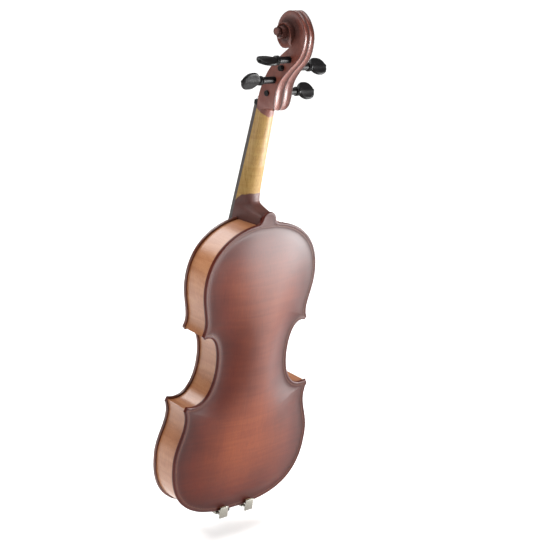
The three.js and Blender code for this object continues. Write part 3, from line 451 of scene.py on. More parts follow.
def skin(name, points, faces, material, crease=40, **attributes):
    """A piece from points in millimetres and faces, with values at its points."""
    mesh = bpy.data.meshes.new(name)
    mesh.from_pydata((np.asarray(points, float) * MM).tolist(), [], faces)
    for key, values in attributes.items():
        layer = mesh.attributes.new(key, "FLOAT", "POINT")
        layer.data.foreach_set("value", np.asarray(values, np.float32))
    piece = bpy.data.objects.new(name, mesh)
    bpy.context.scene.collection.objects.link(piece)
    mesh.materials.append(material)
    return cleaned(piece, crease)


def grid_faces(rows, columns, wrap=False, start=0):
    """Four-sided faces over rows of points that follow each other."""
    last = columns if wrap else columns - 1
    return [
        [start + r * columns + c, start + r * columns + (c + 1) % columns,
         start + (r + 1) * columns + (c + 1) % columns, start + (r + 1) * columns + c]
        for r in range(rows - 1) for c in range(last)
    ]


def tube_faces(rows, columns):
    """Faces over closed rings of points that follow each other, with a cap on each end."""
    first = list(range(columns))
    last = [(rows - 1) * columns + k for k in first[::-1]]
    return grid_faces(rows, columns, wrap=True) + [first, last]


def settle(piece, body, slot, *nodes):
    """Gives a finished piece its body and hides the plain parts that it stands for. The slot is not
    used.
    """
    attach(piece, body)
    if nodes:
        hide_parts(*nodes)
    return piece


# %% [markdown]
# The outline of the body is drawn with six cubic curves on the treble side: lower bout, waist and
# upper bout, two curves each. The bouts end in four outward corners with short cut tips. Everything
# else on the body follows this line at a distance: the ribs, the purfling and the edge.

# %% Outline and its insets
HALF = {
    "lower": [[(0, 0), (58, 0), (103.5, 14), (103.5, 79)],
              [(103.5, 79), (103.5, 104), (85, 121), (95.5, 143)]],
    "centre": [[(92.5, 148.5), (67, 141), (54.5, 164), (54.5, 192)],
               [(54.5, 192), (54.5, 214), (62, 232), (77, 227.5)]],
    "upper": [[(80.5, 231.5), (72, 246), (84.5, 262), (84.5, 286)],
              [(84.5, 286), (84.5, 330), (50, 356), (0, 356)]],
}
BODY_LENGTH = 356.0


def cubic(corners, count):
    """Points along a cubic curve."""
    t = np.linspace(0, 1, count)[:, None]
    a, b, c, d = (np.array(p, float) for p in corners)
    return a * (1 - t) ** 3 + 3 * b * t * (1 - t) ** 2 + 3 * c * t**2 * (1 - t) + d * t**3


BOUTS = {
    name: np.vstack([cubic(first, 160), cubic(second, 160)[1:]])
    for name, (first, second) in HALF.items()
}


def run_of(line):
    """Distance along a line at each of its points."""
    return np.concatenate([[0], np.cumsum(np.hypot(*np.diff(line, axis=0).T))])


def even(line, count):
    """The line again with points at even distances."""
    run = run_of(line)
    at = np.linspace(0, run[-1], count)
    return np.column_stack([np.interp(at, run, line[:, 0]), np.interp(at, run, line[:, 1])])


def moved_in(line, distance, reach=(16.0, 16.0)):
    """A line moved to its left, and run on straight past its ends."""
    along = np.gradient(line, axis=0)
    along /= np.hypot(*along.T)[:, None]
    moved = line + np.column_stack([-along[:, 1], along[:, 0]]) * distance
    start = moved[0] - along[0] * reach[0]
    end = moved[-1] + along[-1] * reach[1]
    return np.vstack([[start]] * bool(reach[0]) + [moved] + [[end]] * bool(reach[1]))


def crossing(first, second):
    """Where two lines cross: the places along each, and the point. The last on the first line."""
    p, r = first[:-1, None], np.diff(first, axis=0)[:, None]
    q, s = second[None, :-1], np.diff(second, axis=0)[None]
    area = r[..., 0] * s[..., 1] - r[..., 1] * s[..., 0]
    area = np.where(abs(area) < 1e-12, 1e-12, area)
    t = ((q - p)[..., 0] * s[..., 1] - (q - p)[..., 1] * s[..., 0]) / area
    u = ((q - p)[..., 0] * r[..., 1] - (q - p)[..., 1] * r[..., 0]) / area
    hits = np.argwhere((t >= 0) & (t <= 1) & (u >= 0) & (u <= 1))
    i, j = hits[-1]
    return i + t[i, j], j + u[i, j], first[i] + t[i, j] * (first[i + 1] - first[i])


def mitred(before, after, tip):
    """Ends one line and starts the next where they meet, at a cut tip while there is room."""
    at_before, at_after, corner = crossing(before, after)
    if tip is not None:
        leave, _, a = crossing(before, tip)
        enter, _, b = crossing(after[::-1], tip)
        enter = len(after) - 1 - enter
        if leave < at_before and enter > at_after:
            return (np.vstack([before[: int(leave) + 1], [a]]),
                    np.array([a, b]), np.vstack([[b], after[int(enter) + 1 :]]))
    return (np.vstack([before[: int(at_before) + 1], [corner]]),
            np.array([corner, corner]), np.vstack([[corner], after[int(at_after) + 1 :]]))


TIPS = {
    "low": (BOUTS["lower"][-1], BOUTS["centre"][0]),
    "high": (BOUTS["centre"][-1], BOUTS["upper"][0]),
}
TIP_PACE = 0.47


def tip_line(name, distance):
    """A tip's short line, moved in more slowly than the bouts so that the corner stays long."""
    line = np.array(TIPS[name])
    along = (line[1] - line[0]) / np.hypot(*(line[1] - line[0]))
    across = np.array([-along[1], along[0]]) * distance * TIP_PACE
    return np.array([line[0] + across - along * 12, line[1] + across + along * 12])


def stretches(distance, tips=True):
    """The half outline at a distance from the edge: bouts and tips in order."""
    low = moved_in(BOUTS["lower"], distance, (0.0, 16.0))
    mid = moved_in(BOUTS["centre"], distance)
    high = moved_in(BOUTS["upper"], distance, (16.0, 0.0))
    low, tip_a, mid = mitred(low, mid, tip_line("low", distance) if tips else None)
    mid, tip_b, high = mitred(mid, high, tip_line("high", distance) if tips else None)
    return {"lower": low, "tip_low": tip_a, "centre": mid, "tip_high": tip_b, "upper": high}


print("outline", round(run_of(np.vstack(list(BOUTS.values())))[-1] * 2), "mm round")

# %% [markdown]
# An arched plate is carved by eye from a few templates. Here its height comes from two of them: one
# along the centre line and one across, stretched to the width at each place. Near the edge there is
# first a rounded bead, then the groove for the purfling, then a shallow channel from which the arch
# rises. The distance used for the arch is a soft one that feels the whole outline, so that the
# surface has no ridges where the corners come in.

# %% Arched plates
RIB_HALF = 15.5
EDGE = 4.0
FLUTE = 0.42
FLAT = 6.5
COUNTS = {"lower": 108, "tip_low": 3, "centre": 56, "tip_high": 3, "upper": 80}
BUTTON_HALF = 10.5
BUTTON_TOP = 369.0
BUTTON_ROUND = 9.0
BUTTON_COUNT = 9
BUTTON_GROOVE = 3.5  # from here inwards the lines pass below the button
SPINE = {
    "lower": ([0, 0.62, 1], [30, 75, 110]),
    "tip_low": ([0, 1], [110, 110]),
    "centre": ([0, 0.5, 1], [110, 185, 262]),
    "tip_high": ([0, 1], [262, 262]),
    "upper": ([0, 0.3, 1], [262, 285, 335]),
}
# Distance from the edge and height over the rib, from the underside round the edge and inwards.
EDGE_LINE = [
    (1.3, 0.0), (0.5, 0.25), (0.12, 0.8), (0.0, 1.6), (0.0, 2.4), (0.18, 3.1), (0.6, 3.65),
    (1.3, 3.95), (2.1, 4.0), (3.0, 3.9), (3.79, 3.78), (3.8, 3.3), (5.0, 3.3), (5.01, 3.66),
    (5.8, 3.6), (FLAT, EDGE - FLUTE),
]
SHARES = np.array([0.015, 0.04, 0.07, 0.1, 0.14, 0.18, 0.22, 0.27, 0.32, 0.38, 0.44, 0.5,
                   0.57, 0.64, 0.71, 0.78, 0.85, 0.92, 0.97, 1.0])
LOOP = np.vstack([BOUTS["lower"], BOUTS["centre"], BOUTS["upper"]])
LOOP = np.vstack([LOOP, (LOOP * [-1, 1])[::-1]])


def soft_distance(points):
    """Distance from the edge that feels the whole outline."""
    middle = (LOOP[1:] + LOOP[:-1]) / 2
    length = np.hypot(*np.diff(LOOP, axis=0).T)
    gap = np.hypot(*np.moveaxis(points[:, None] - middle[None], 2, 0))
    return np.sqrt(2 / (length[None] / np.maximum(gap, 0.4) ** 3).sum(1))


centre_z = np.linspace(0.5, BODY_LENGTH - 0.5, 240)
centre_distance = soft_distance(np.column_stack([centre_z * 0, centre_z]))


def smooth(value):
    """A soft step from 0 to 1."""
    value = np.clip(value, 0, 1)
    return value * value * (3 - 2 * value)


def ring_at(distance, button):
    """The half line of a plate at a distance from the edge, always with as many points."""
    parts = stretches(distance)
    line = [even(parts[name], COUNTS[name] + 1)[:-1] for name in COUNTS]
    half = np.vstack(line + [parts["upper"][-1:]])
    if button:
        top = half[-BUTTON_COUNT - 1 :]
        if distance < BUTTON_GROOVE:
            side = BUTTON_HALF - distance
            corner = BODY_LENGTH - 0.2 - distance
            start = BUTTON_TOP - BUTTON_ROUND
            top[:3] = [(side + 5.0, corner - 0.6), (side + 0.9, corner + 2.0), (side, start - 0.5)]
            turn = np.linspace(0, math.pi / 2, BUTTON_COUNT - 3)
            rise = BUTTON_ROUND - distance
            top[-len(turn) :] = np.column_stack([side * np.cos(turn), start + rise * np.sin(turn)])
        else:
            widths = [BUTTON_HALF + 2.0, BUTTON_HALF - 0.6, 0]
            top[:, 0] = np.interp(np.arange(len(top)), [0, 3, BUTTON_COUNT], widths)
            top[:, 1] = BODY_LENGTH - distance - 0.1
        run_up = slice(-BUTTON_COUNT - 12, -BUTTON_COUNT)
        half[run_up] = even(half[run_up], 12)
    half[0, 0] = half[-1, 0] = 0.0
    return half


def arch_rings(arch, button):
    """Half rings from the edge to the centre line as x, z and height, with the distance inwards."""
    rings = []
    for distance, height in EDGE_LINE:
        half = ring_at(distance, button)
        rings.append((half, np.full(len(half), height), np.full(len(half), distance)))
    edge_ring = rings[-1][0]
    spine = np.concatenate(
        [np.interp(np.arange(n) / n, *SPINE[name]) for name, n in COUNTS.items()] + [[335.0]])
    ring_soft = soft_distance(edge_ring)
    for share in SHARES:
        points = edge_ring * (1 - share)
        points[:, 1] += spine * share
        soft = soft_distance(points) - (ring_soft - FLAT) * (1 - share) ** 4
        full = np.interp(points[:, 1], centre_z, centre_distance)
        across = np.clip((soft - FLAT) / np.maximum(full - FLAT, 0.5), 0, 1.02)
        from_end = np.minimum(points[:, 1], BODY_LENGTH - points[:, 1]) - FLAT
        along = 1 - (1 - np.clip(from_end / (BODY_LENGTH / 2 - FLAT), 0, 1)) ** 2.6
        along *= smooth(0.25 + 0.75 * from_end / 16)
        rise = arch * along * (2.2 * across**2 - 1.2 * across**3)
        channel = FLUTE * np.exp(-((np.maximum(soft - FLAT, 0) / 6.0) ** 2))
        rings.append((points, EDGE - channel + rise, soft))
    return rings


def both_sides(half, height, depth):
    """A half ring with its mirror image: x, height, z, and the distance inwards."""
    full = np.column_stack([half[:, 0], height, half[:, 1]])
    mirror = full[1:-1][::-1] * [-1, 1, 1]
    return np.vstack([full, mirror]), np.concatenate([depth, depth[1:-1][::-1]])


PLATE_WALL = 3.2
PLATE_CREASE = 38


def plate(name, arch, front, material):
    """An arched plate with its inner face; front is -1 for the top and 1 for the back."""
    outer = [both_sides(*ring) for ring in arch_rings(arch, front > 0)]
    inner = [(np.column_stack([p[:, 0], np.maximum(p[:, 1] - PLATE_WALL, 0.0), p[:, 2]]), d)
             for p, d in outer[-len(SHARES) - 1 :]]
    shells = inner[::-1] + outer
    points = np.vstack([p for p, _ in shells])
    depth = np.concatenate([d for _, d in shells])
    points[:, 1] = front * (RIB_HALF + points[:, 1])
    count = len(outer[0][0])
    faces = grid_faces(len(shells), count, wrap=True)
    return skin(name, points, faces, material, PLATE_CREASE, inward=np.clip(depth / 60, 0, 1))


back = plate("arched_back", 11.0, 1, back_varnish)
top = plate("arched_top", 11.5, -1, top_varnish)
print("plates", [len(p.data.polygons) for p in (back, top)], "faces")
settle(back, "instrument", "back_varnish", "back_plate")
settle(top, "instrument", "top_varnish", "top_plate")

# %% [markdown]
# The top is sawn through in two places for sound: the f-holes, each a curved slot between two round
# eyes. It also has a notch for the neck and one for the saddle. Each opening is a solid of its own
# shape that a Boolean modifier takes away from the plate.


# %% Openings in the top
def prism(name, outline, low, high):
    """A closed block over an outline in x and z, from one y to another, in millimetres."""
    points = [(x, y, z) for y in (low, high) for x, z in outline]
    return skin(name, points, tube_faces(2, len(outline)), spruce)


def disc(x, z, radius, count=28):
    """Points round a circle."""
    turns = [2 * math.pi * k / count for k in range(count)]
    return [(x + radius * math.cos(turn), z + radius * math.sin(turn)) for turn in turns]


def taken_away(piece, *cutters):
    """Cuts these blocks out of a piece and deletes them."""
    cutter = joined(*cutters)
    pick(piece)
    change = piece.modifiers.new("opening", "BOOLEAN")
    change.operation = "DIFFERENCE"
    change.solver = "EXACT"
    change.object = cutter
    bpy.ops.object.modifier_apply(modifier=change.name)
    bpy.data.objects.remove(cutter)


SLOT = cubic([(25.0, 198.6), (36.0, 206.0), (28.0, 117.0), (41.0, 125.2)], 37)
SLOT_HALF = np.interp(np.linspace(0, 1, 37), [0, 0.12, 0.35, 0.5, 0.65, 0.88, 1],
                      [0.8, 1.3, 2.3, 2.6, 2.4, 1.4, 0.9])
EYES = [(24.5, 196.0, 3.2), (41.0, 129.0, 4.4)]
slope = np.gradient(SLOT, axis=0)
slope /= np.hypot(*slope.T)[:, None]
sideways = np.column_stack([-slope[:, 1], slope[:, 0]]) * SLOT_HALF[:, None]
slot_outline = np.vstack([SLOT + sideways, (SLOT - sideways)[::-1]])
OUTSIDE, INSIDE = -RIB_HALF - 22.0, -RIB_HALF + 2.0
for outline in (slot_outline, *[disc(*eye) for eye in EYES]):
    taken_away(top, *[
        prism("slot", [(x * side, z) for x, z in outline], OUTSIDE, INSIDE)
        for side in SIDES.values()
    ])
taken_away(
    top,
    prism("neck_notch", [(-17, 350), (17, 350), (17, 362), (-17, 362)], OUTSIDE, INSIDE),
    prism("saddle_notch", [(-17.3, -3), (17.3, -3), (17.3, 7.3), (-17.3, 7.3)], OUTSIDE, INSIDE),
)
smoothed(top, PLATE_CREASE)
print("top has", len(top.data.polygons), "faces with its openings")

# %% [markdown]
# The purfling is a ribbon of three thin strips, dark, light and dark, let into a groove that runs
# 4 mm inside the edge. It stops small cracks from running in, and it draws the line that one sees.
# Each strip is a closed ribbon through the same points as the plate's rings.

# %% Purfling
PURFLING = [(3.82, 4.2, "dark"), (4.2, 4.6, "light"), (4.6, 4.98, "dark")]
PURFLING_TOP = 3.72
PURFLING_FOOT = 3.3
STRIP_CREASE = 30
NOTCH_HALF = 17.6
NOTCH_ENDS = (12.0, 340.0)


def clear_of_notches(x, z):
    """Whether a place on the top is outside its notches for the neck and the saddle."""
    return abs(x) >= NOTCH_HALF or NOTCH_ENDS[0] <= z <= NOTCH_ENDS[1]


def strip(name, before, after, front, side, material, keep=lambda x, z: True):
    """A closed strip between two insets of a plate's outline, on one side of it."""
    near, far = (ring_at(distance, front > 0) for distance in (before, after))
    corners = [(near, PURFLING_FOOT), (far, PURFLING_FOOT),
               (far, PURFLING_TOP), (near, PURFLING_TOP)]
    points = [
        (line[i][0] * side, front * (RIB_HALF + height), line[i][1])
        for i in range(len(near)) if keep(*near[i]) for line, height in corners
    ]
    return skin(name, points, tube_faces(len(points) // 4, 4), material, STRIP_CREASE)


INLAY = {}
for tone, stops in (
    ("dark", [(0.3, "#2b1209"), (0.7, "#38190e")]),
    ("light", [(0.3, "#4a2413"), (0.7, "#582e1a")]),
):
    INLAY[tone] = grained(
        f"{tone}_purfling_strip", (2.0, 2.0, 2.0), stops, roughness=0.38, IOR=1.28,
    )

for before, after, tone in PURFLING:
    inset = round(before * 10)
    whole = joined(*[
        strip(f"back_purfling_{inset}_{name}", before, after, 1, side, INLAY[tone])
        for name, side in SIDES.items()
    ])
    settle(cleaned(whole, STRIP_CREASE), "instrument", "ebony", "purfling_back")
    for name, side in SIDES.items():
        made = strip(f"top_purfling_{inset}_{name}", before, after, -1, side, INLAY[tone],
                     clear_of_notches)
        settle(made, "instrument", "ebony", f"purfling_top_{name}")

# %% [markdown]
# The ribs are strips of maple, 1.2 mm thick, bent over a hot iron and glued to blocks in the
# corners. They stand 2.8 mm inside the edge of the plates.

# %% Ribs
RIB_INSET = 2.8
RIB_THICK = 1.2
RIB_COUNTS = {"lower": 110, "centre": 56, "upper": 84}
outer_lines = stretches(RIB_INSET, tips=False)
inner_lines = stretches(RIB_INSET + RIB_THICK, tips=False)
for name, side in SIDES.items():
    for bout, count in RIB_COUNTS.items():
        a, b = even(outer_lines[bout], count), even(inner_lines[bout], count)
        corners = [(a, -RIB_HALF), (a, RIB_HALF), (b, RIB_HALF), (b, -RIB_HALF)]
        points = [(line[i][0] * side, y, line[i][1]) for i in range(count) for line, y in corners]
        faces = tube_faces(count, len(corners))
        rib = skin(f"bent_rib_{bout}_{name}", points, faces, rib_varnish, STRIP_CREASE)
        settle(rib, "instrument", "rib_varnish", f"rib_{bout}_{name}")
print("ribs stand", 2 * RIB_HALF, "mm high")

# %% [markdown]
# The neck and its head are one piece of maple. The neck leans back a little, so it is drawn in its
# own frame, with y to the back and z up from the edge of the body, and turned into place at the
# end. The heel grows from the round neck into a flat-sided foot as wide as the back's button.

# %% Neck and heel
LEAN = math.radians(-6.8)
NECK_PLACE = Matrix.Translation((0, -25.5, BODY_LENGTH)) @ Matrix.Rotation(LEAN, 4, "X")
NECK_STATIONS = np.array([
    # z, width, depth, how square, half width of the back
    (-8, 33.4, 46, 1.0, 10.5), (5, 33.2, 46, 1.0, 10.5), (9, 33.1, 46, 1.0, 10.5),
    (11.5, 33.0, 44, 1.0, 9.7), (13.8, 32.9, 33.5, 0.95, 7.2), (15.3, 32.8, 25.8, 0.85, 5.6),
    (17, 32.6, 20.0, 0.7, 5.1), (19, 32.5, 17.2, 0.55, 5.0), (22, 32.2, 15.6, 0.36, 5.2),
    (27, 31.8, 14.0, 0.15, 6.0), (34, 31.3, 13.2, 0.05, 7.0), (42, 30.7, 12.8, 0, 7.0),
    (60, 29.4, 12.4, 0, 7.0), (100, 26.4, 11.6, 0, 7.0), (122, 24.9, 11.2, 0, 7.0),
    (130, 24.6, 11.2, 0, 7.0), (140, 24.2, 12.2, 0, 7.0),
])
BUTTON_PLANE = RIB_HALF - 0.15
FOOT_DEPTH = 5.7
HEEL_END = 60
FRONT_GAP = 0.15


def along_stations(table, z):
    """Each column of a table at height z, on a smooth curve through its rows."""
    rows = table[:, 0]
    i = int(np.clip(np.searchsorted(rows, z) - 1, 0, len(rows) - 2))
    span = rows[i + 1] - rows[i]
    t = np.clip((z - rows[i]) / span, 0, 1)
    slope = np.gradient(table[:, 1:], rows, axis=0)
    h = [2 * t**3 - 3 * t**2 + 1, t**3 - 2 * t**2 + t, -2 * t**3 + 3 * t**2, t**3 - t**2]
    return (h[0] * table[i, 1:] + h[1] * span * slope[i] + h[2] * table[i + 1, 1:]
            + h[3] * span * slope[i + 1])


def neck_section(z, count=41):
    """Half-round section that squares up toward the heel."""
    width, depth, square, foot = along_stations(NECK_STATIONS, z)
    half = width / 2
    points = []
    for angle in np.linspace(0, math.pi, count):
        c, s = math.cos(angle), math.sin(angle)
        down = min(1.0, s * 1.25)
        edge = math.copysign(half + (foot - half) * down ** 1.1, c)
        flat_x = edge * (abs(c) / 0.6 if abs(c) < 0.6 else 1.0)
        x = half * c + (flat_x - half * c) * square
        y = depth * s**1.2
        y += (depth * down - y) * square
        points.append((x, max(y, FRONT_GAP), z))
    return points


stations = np.concatenate([np.arange(-6, 9, 3), np.arange(9, 36, 0.7), np.arange(36, 140, 2.6)])
rows = [neck_section(z) for z in stations]
points = [p for row in rows for p in [*row, (0, FRONT_GAP, row[0][2])]]
local = np.array(points)
# The varnish ends in a curve at the heel and in another below the head.
heel_line = 17 + 13 * (1 - np.exp(-np.maximum(local[:, 1], 0) / 5.5))
head_line = 127 - 10 * np.clip(local[:, 1] / 14, 0, 1) ** 1.3
varnish = np.maximum(heel_line - local[:, 2], local[:, 2] - head_line) / 10
# The heel ends flush with the button on the back, and its foot stands in the notch of the body.
world_points = np.array([NECK_PLACE @ Vector(p) for p in points])
world_points[:, 1] = np.minimum(world_points[:, 1], BUTTON_PLANE)
world_points[:, 2] = np.maximum(world_points[:, 2], BODY_LENGTH - FOOT_DEPTH)
faces = tube_faces(len(rows), len(rows[0]) + 1)
shaft = skin("neck_shaft_and_heel", world_points, faces, neck_maple, 34,
             varnish=np.clip(varnish, -1, 1), dark=np.where(local[:, 2] < HEEL_END, 0.55, 0.0))

# %% [markdown]
# The head is carved from the side view: a line runs up the back of the pegbox, over the top, round
# the front and under to the throat, and from there on as the edge of the volute, turn by turn, to
# the eye. Across this line the back is hollowed into two flutes with a sharp spine between them.
# The sides step outward from turn to turn, and each turn is hollowed toward the next.

# %% Head: side view
CHIN_BACK = [  # y, z, half width of the back, depth of the flutes
    (13.0, 129.6, 1.0, 0.0), (17.0, 129.8, 3.4, 0.2), (20.8, 130.6, 6.0, 0.5),
    (23.6, 132.6, 8.6, 0.9), (24.8, 135.6, 10.6, 1.2), (25.2, 139.0, 11.9, 1.4),
    (25.2, 146.0, 12.7, 1.5), (24.6, 156.0, 12.4, 1.5), (26.2, 166.0, 11.6, 1.5),
    (31.4, 177.0, 10.6, 1.5), (38.0, 187.0, 9.7, 1.5), (41.4, 192.0, 9.2, 1.5),
]
PEGBOX_FRONT = [
    (0.15, 127.0), (0.15, 130.0), (0.15, 134.0), (0.15, 139.0), (0.3, 147.0), (1.2, 155.0),
    (3.0, 165.0), (5.8, 174.0), (10.4, 183.6), (16.0, 191.6), (21.8, 198.4), (28.4, 205.8),
]
TURN = 44
VOLUTE = [  # y, z, half width, how many stations on
    (41.4, 192.0, 9.2, 0), (45.8, 201.5, 8.3, 3), (47.0, 213.0, 7.6, 6),
    (45.5, 224.0, 7.2, 9), (41.0, 232.0, 7.0, 12), (33.6, 239.2, 7.0, 15),
    (26.0, 243.2, 7.0, 18), (19.0, 244.05, 7.1, 21), (12.4, 241.6, 7.2, 24),
    (6.6, 236.0, 7.4, 27), (3.2, 229.0, 7.6, 30), (2.4, 221.4, 7.8, 33),
    (3.8, 213.4, 8.1, 36), (7.6, 206.8, 8.5, 39), (14.2, 203.0, 9.0, 41),
    (22.0, 203.0, 9.5, 43), (28.4, 205.8, 9.8, 44), (30.0, 210.6, 10.3, 48),
    (29.2, 217.2, 11.0, 53), (26.8, 223.4, 11.6, 58), (22.4, 228.0, 12.2, 63),
    (16.6, 229.8, 12.8, 68), (10.8, 227.8, 13.5, 74), (8.0, 222.0, 14.3, 80),
    (9.2, 215.6, 15.0, 85), (14.0, 212.0, 15.8, 90), (19.6, 213.2, 16.4, 96),
    (22.2, 218.4, 17.0, 102), (20.2, 224.0, 17.6, 108), (14.8, 225.6, 18.2, 114),
    (10.9, 222.0, 18.8, 120), (11.2, 217.6, 19.3, 126), (14.4, 215.8, 19.8, 131),
]
EYE = (14.6, 219.8)
EYE_RADIUS = 4.2
EYE_HALF = 20.5
HEAD_CREASE = 42


def curve_through(table, places, at):
    """Smooth curve through rows at given places, for every column."""
    full = np.column_stack([places, np.asarray(table, float)])
    return np.array([along_stations(full, a) for a in at])


back_steps = np.linspace(0, len(CHIN_BACK) - 1, 31)
back_line = curve_through(CHIN_BACK, np.arange(len(CHIN_BACK)), back_steps)
front_line = curve_through(PEGBOX_FRONT, np.arange(len(PEGBOX_FRONT)), back_steps)
volute_steps = np.arange(VOLUTE[-1][3] + 1)
volute = curve_through([v[:3] for v in VOLUTE], [v[3] for v in VOLUTE], volute_steps)
front_line[-1] = volute[TURN][:2]
HEAD_WIDTHS = [(131, 12.3), (138, 13.3), (150, 12.8), (175, 10.8), (192, 9.2), (204, 9.6)]
front_half = np.interp(front_line[:, 1], *zip(*HEAD_WIDTHS))
front_half[-1] = volute[TURN][2]


def turn_after(step):
    """The edge of the volute at a step, or the eye once the edge has ended."""
    if step < len(volute):
        return volute[step]
    inner = volute[min(step - TURN, len(volute) - 1)]
    angle = math.atan2(inner[1] - EYE[1], inner[0] - EYE[0])
    return np.array([EYE[0] + EYE_RADIUS * math.cos(angle),
                     EYE[1] + EYE_RADIUS * math.sin(angle), EYE_HALF])


# %% [markdown]
# First the band that runs right round the head: cross lines from cheek to cheek, with the flutes.

# %% Head: fluted band
SPREAD = np.array([1.0, 0.93, 0.87, 0.78, 0.66, 0.52, 0.38, 0.26, 0.16, 0.09, 0.05, 0.0])
SPREAD = np.concatenate([SPREAD, -SPREAD[-2::-1]])
band = list(back_line)
for step in range(1, TURN + 1):
    y, z, half = volute[step]
    band.append((y, z, half, 1.5 * smooth((TURN + 2 - step) / 16)))
band += [(*front_line[i], front_half[i], 0.0) for i in range(len(front_line) - 2, -1, -1)]
band = np.array(band)
along = np.roll(band[:, :2], -1, axis=0) - np.roll(band[:, :2], 1, axis=0)
along[0] = band[1, :2] - band[0, :2]
normal = np.column_stack([along[:, 1], -along[:, 0]])
normal /= np.hypot(*normal.T)[:, None]


def flute_share(place):
    """How deep the hollow is across the band: none at the edges and at the spine."""
    t = (0.9 - abs(place)) / (0.9 - 0.07)
    return max(0.0, math.sin(math.pi * min(max(t, 0.0), 1.0))) ** 0.75


head_points, head_painted_shade = [], []
for (y, z, half, flute), (ny, nz) in zip(band, normal):
    for place in SPREAD:
        sink = flute * flute_share(place)
        head_points.append((half * place, y - ny * sink, z - nz * sink))
        # Painted shade: dark lines along the sharp edges and the spine of the flutes.
        at_edge = math.exp(-(((abs(place) - 0.95) / 0.09) ** 2))
        at_spine = math.exp(-((place / 0.14) ** 2))
        head_painted_shade.append(max(at_edge, at_spine) * min(1.0, flute))
band_faces = grid_faces(len(band), len(SPREAD))
last = (len(band) - 1) * len(SPREAD)
band_faces += [[last + c, last + c + 1, c + 1, c] for c in range(len(SPREAD) - 1)]

# %% [markdown]
# Then the two sides. Below the throat a side is the flat cheek of the pegbox, which rounds in at
# the chin. Above it the side is the spiral floor between one turn's edge and the next turn's wall.

# %% Head: cheeks and volutes
ACROSS = np.array([0, 0.04, 0.1, 0.18, 0.28, 0.38, 0.5, 0.62, 0.74, 0.85, 0.94, 1.0])


def side_rows():
    """Rows of points from the back line or a turn's edge inwards, on the treble side."""
    rows = []
    for i in range(len(back_line)):
        y, z, half, _ = back_line[i]
        fy, fz = front_line[i]
        widths = half_at_back[i] + (front_half[i] - half_at_back[i]) * ACROSS
        row = [(half + (w - half) * (1 - (1 - a) ** 4), y + (fy - y) * a, z + (fz - z) * a)
               for a, w in zip(ACROSS, widths)]
        rows.append(row + [row[-1]])
    for step in range(1, len(volute)):
        y, z, half = volute[step]
        ny, nz, nhalf = turn_after(step + TURN)
        grown = smooth(step / 10)
        dip = 2.6 * smooth(step / 16)
        floor_half = (1 - grown) * nhalf + grown * (half - dip)
        row = []
        for a in ACROSS:
            fall = smooth((a - 0.05) / 0.72)
            fall = fall if grown > 0.99 else a + (fall - a) * grown
            row.append((half + (floor_half - half) * fall, y + (ny - y) * a, z + (nz - z) * a))
        rows.append(row + [(nhalf, ny, nz)])
    return rows


half_at_back = np.interp(back_line[:, 1], *zip(*HEAD_WIDTHS))
side = side_rows()
columns = len(side[0])
for sign in SIDES.values():
    start = len(head_points)
    for r, row in enumerate(side):
        for c, (x, y, z) in enumerate(row):
            head_points.append((x * sign, y, z))
            # Painted shade along the cheek's edge and on the hollow floor of the volute under the
            # next turn.
            edge_painted_shade = 0.6 * math.exp(-(ACROSS[min(c, len(ACROSS) - 1)] / 0.03) ** 2)
            pit_painted_shade = 0.75 * smooth((r - 26) / 18) * smooth((c - 3) / 5)
            head_painted_shade.append(max(edge_painted_shade, pit_painted_shade))
    band_faces += grid_faces(len(side), columns, start=start)
    centre = len(head_points)
    head_points.append(((EYE_HALF + 0.4) * sign, *EYE))
    head_painted_shade.append(0.0)
    rim = [start + r * columns + columns - 1 for r in range(len(side) - TURN, len(side))]
    band_faces += [[rim[k], rim[k + 1], centre] for k in range(len(rim) - 1)]
    band_faces.append([rim[-1], rim[0], centre])
world_points = np.array([NECK_PLACE @ Vector(p) for p in head_points])
head = skin("pegbox_and_scroll", world_points, band_faces, neck_maple, HEAD_CREASE,
            varnish=np.ones(len(head_points)), dark=head_painted_shade)

# The pegbox is hollow between its cheeks, so that the strings can reach the pegs.
HOLLOW = [(-6, 139.5), (12, 139.5), (17.6, 146), (17, 156), (19.4, 168), (25.4, 181),
          (32.6, 190.5), (33.5, 195.5), (28, 197.4), (10, 196), (-6, 170)]
CHEEK = 4.6
inner = [np.interp(z, *zip(*HEAD_WIDTHS)) - CHEEK for _, z in HOLLOW]
corners = [
    NECK_PLACE @ Vector((half * sign, y, z))
    for sign in SIDES.values() for (y, z), half in zip(HOLLOW, inner)
]
taken_away(head, skin("hollow", corners, tube_faces(2, len(HOLLOW)), neck_maple))
smoothed(head, HEAD_CREASE)
settle(shaft, "instrument", "neck_maple", "neck")
settle(head, "instrument", "neck_maple", "neck")
print("head has", len(head.data.polygons), "faces")

# %% [markdown]
# A peg is turned on the lathe and its head is then filed flat. The shaft tapers by 1 in 30, so that
# it holds by friction in its two holes. The head has a thin wing on each side of a raised middle,
# and a bead at the end. Here the shaft is spun round its axis in edit mode, and the head is a skin.


# %% Pegs
def turned(name, profile, material, steps=48, crease=32):
    """A piece spun about the x axis from pairs of distance along it and radius, in millimetres."""
    mesh = bpy.data.meshes.new(name)
    line = [(x * MM, 0.0, radius * MM) for x, radius in profile]
    mesh.from_pydata(line, [(i, i + 1) for i in range(len(line) - 1)], [])
    piece = bpy.data.objects.new(name, mesh)
    bpy.context.scene.collection.objects.link(piece)
    mesh.materials.append(material)
    pick(piece)
    bpy.ops.object.mode_set(mode="EDIT")
    bpy.ops.mesh.select_all(action="SELECT")
    bpy.ops.mesh.spin(steps=steps, angle=2 * math.pi, center=(0, 0, 0), axis=(1, 0, 0))
    bpy.ops.object.mode_set(mode="OBJECT")
    return cleaned(piece, crease)


def moved(piece, place):
    """Puts a matrix into a piece's mesh, so that the piece itself stays at the origin."""
    piece.data.transform(place)
    piece.data.update()
    return piece


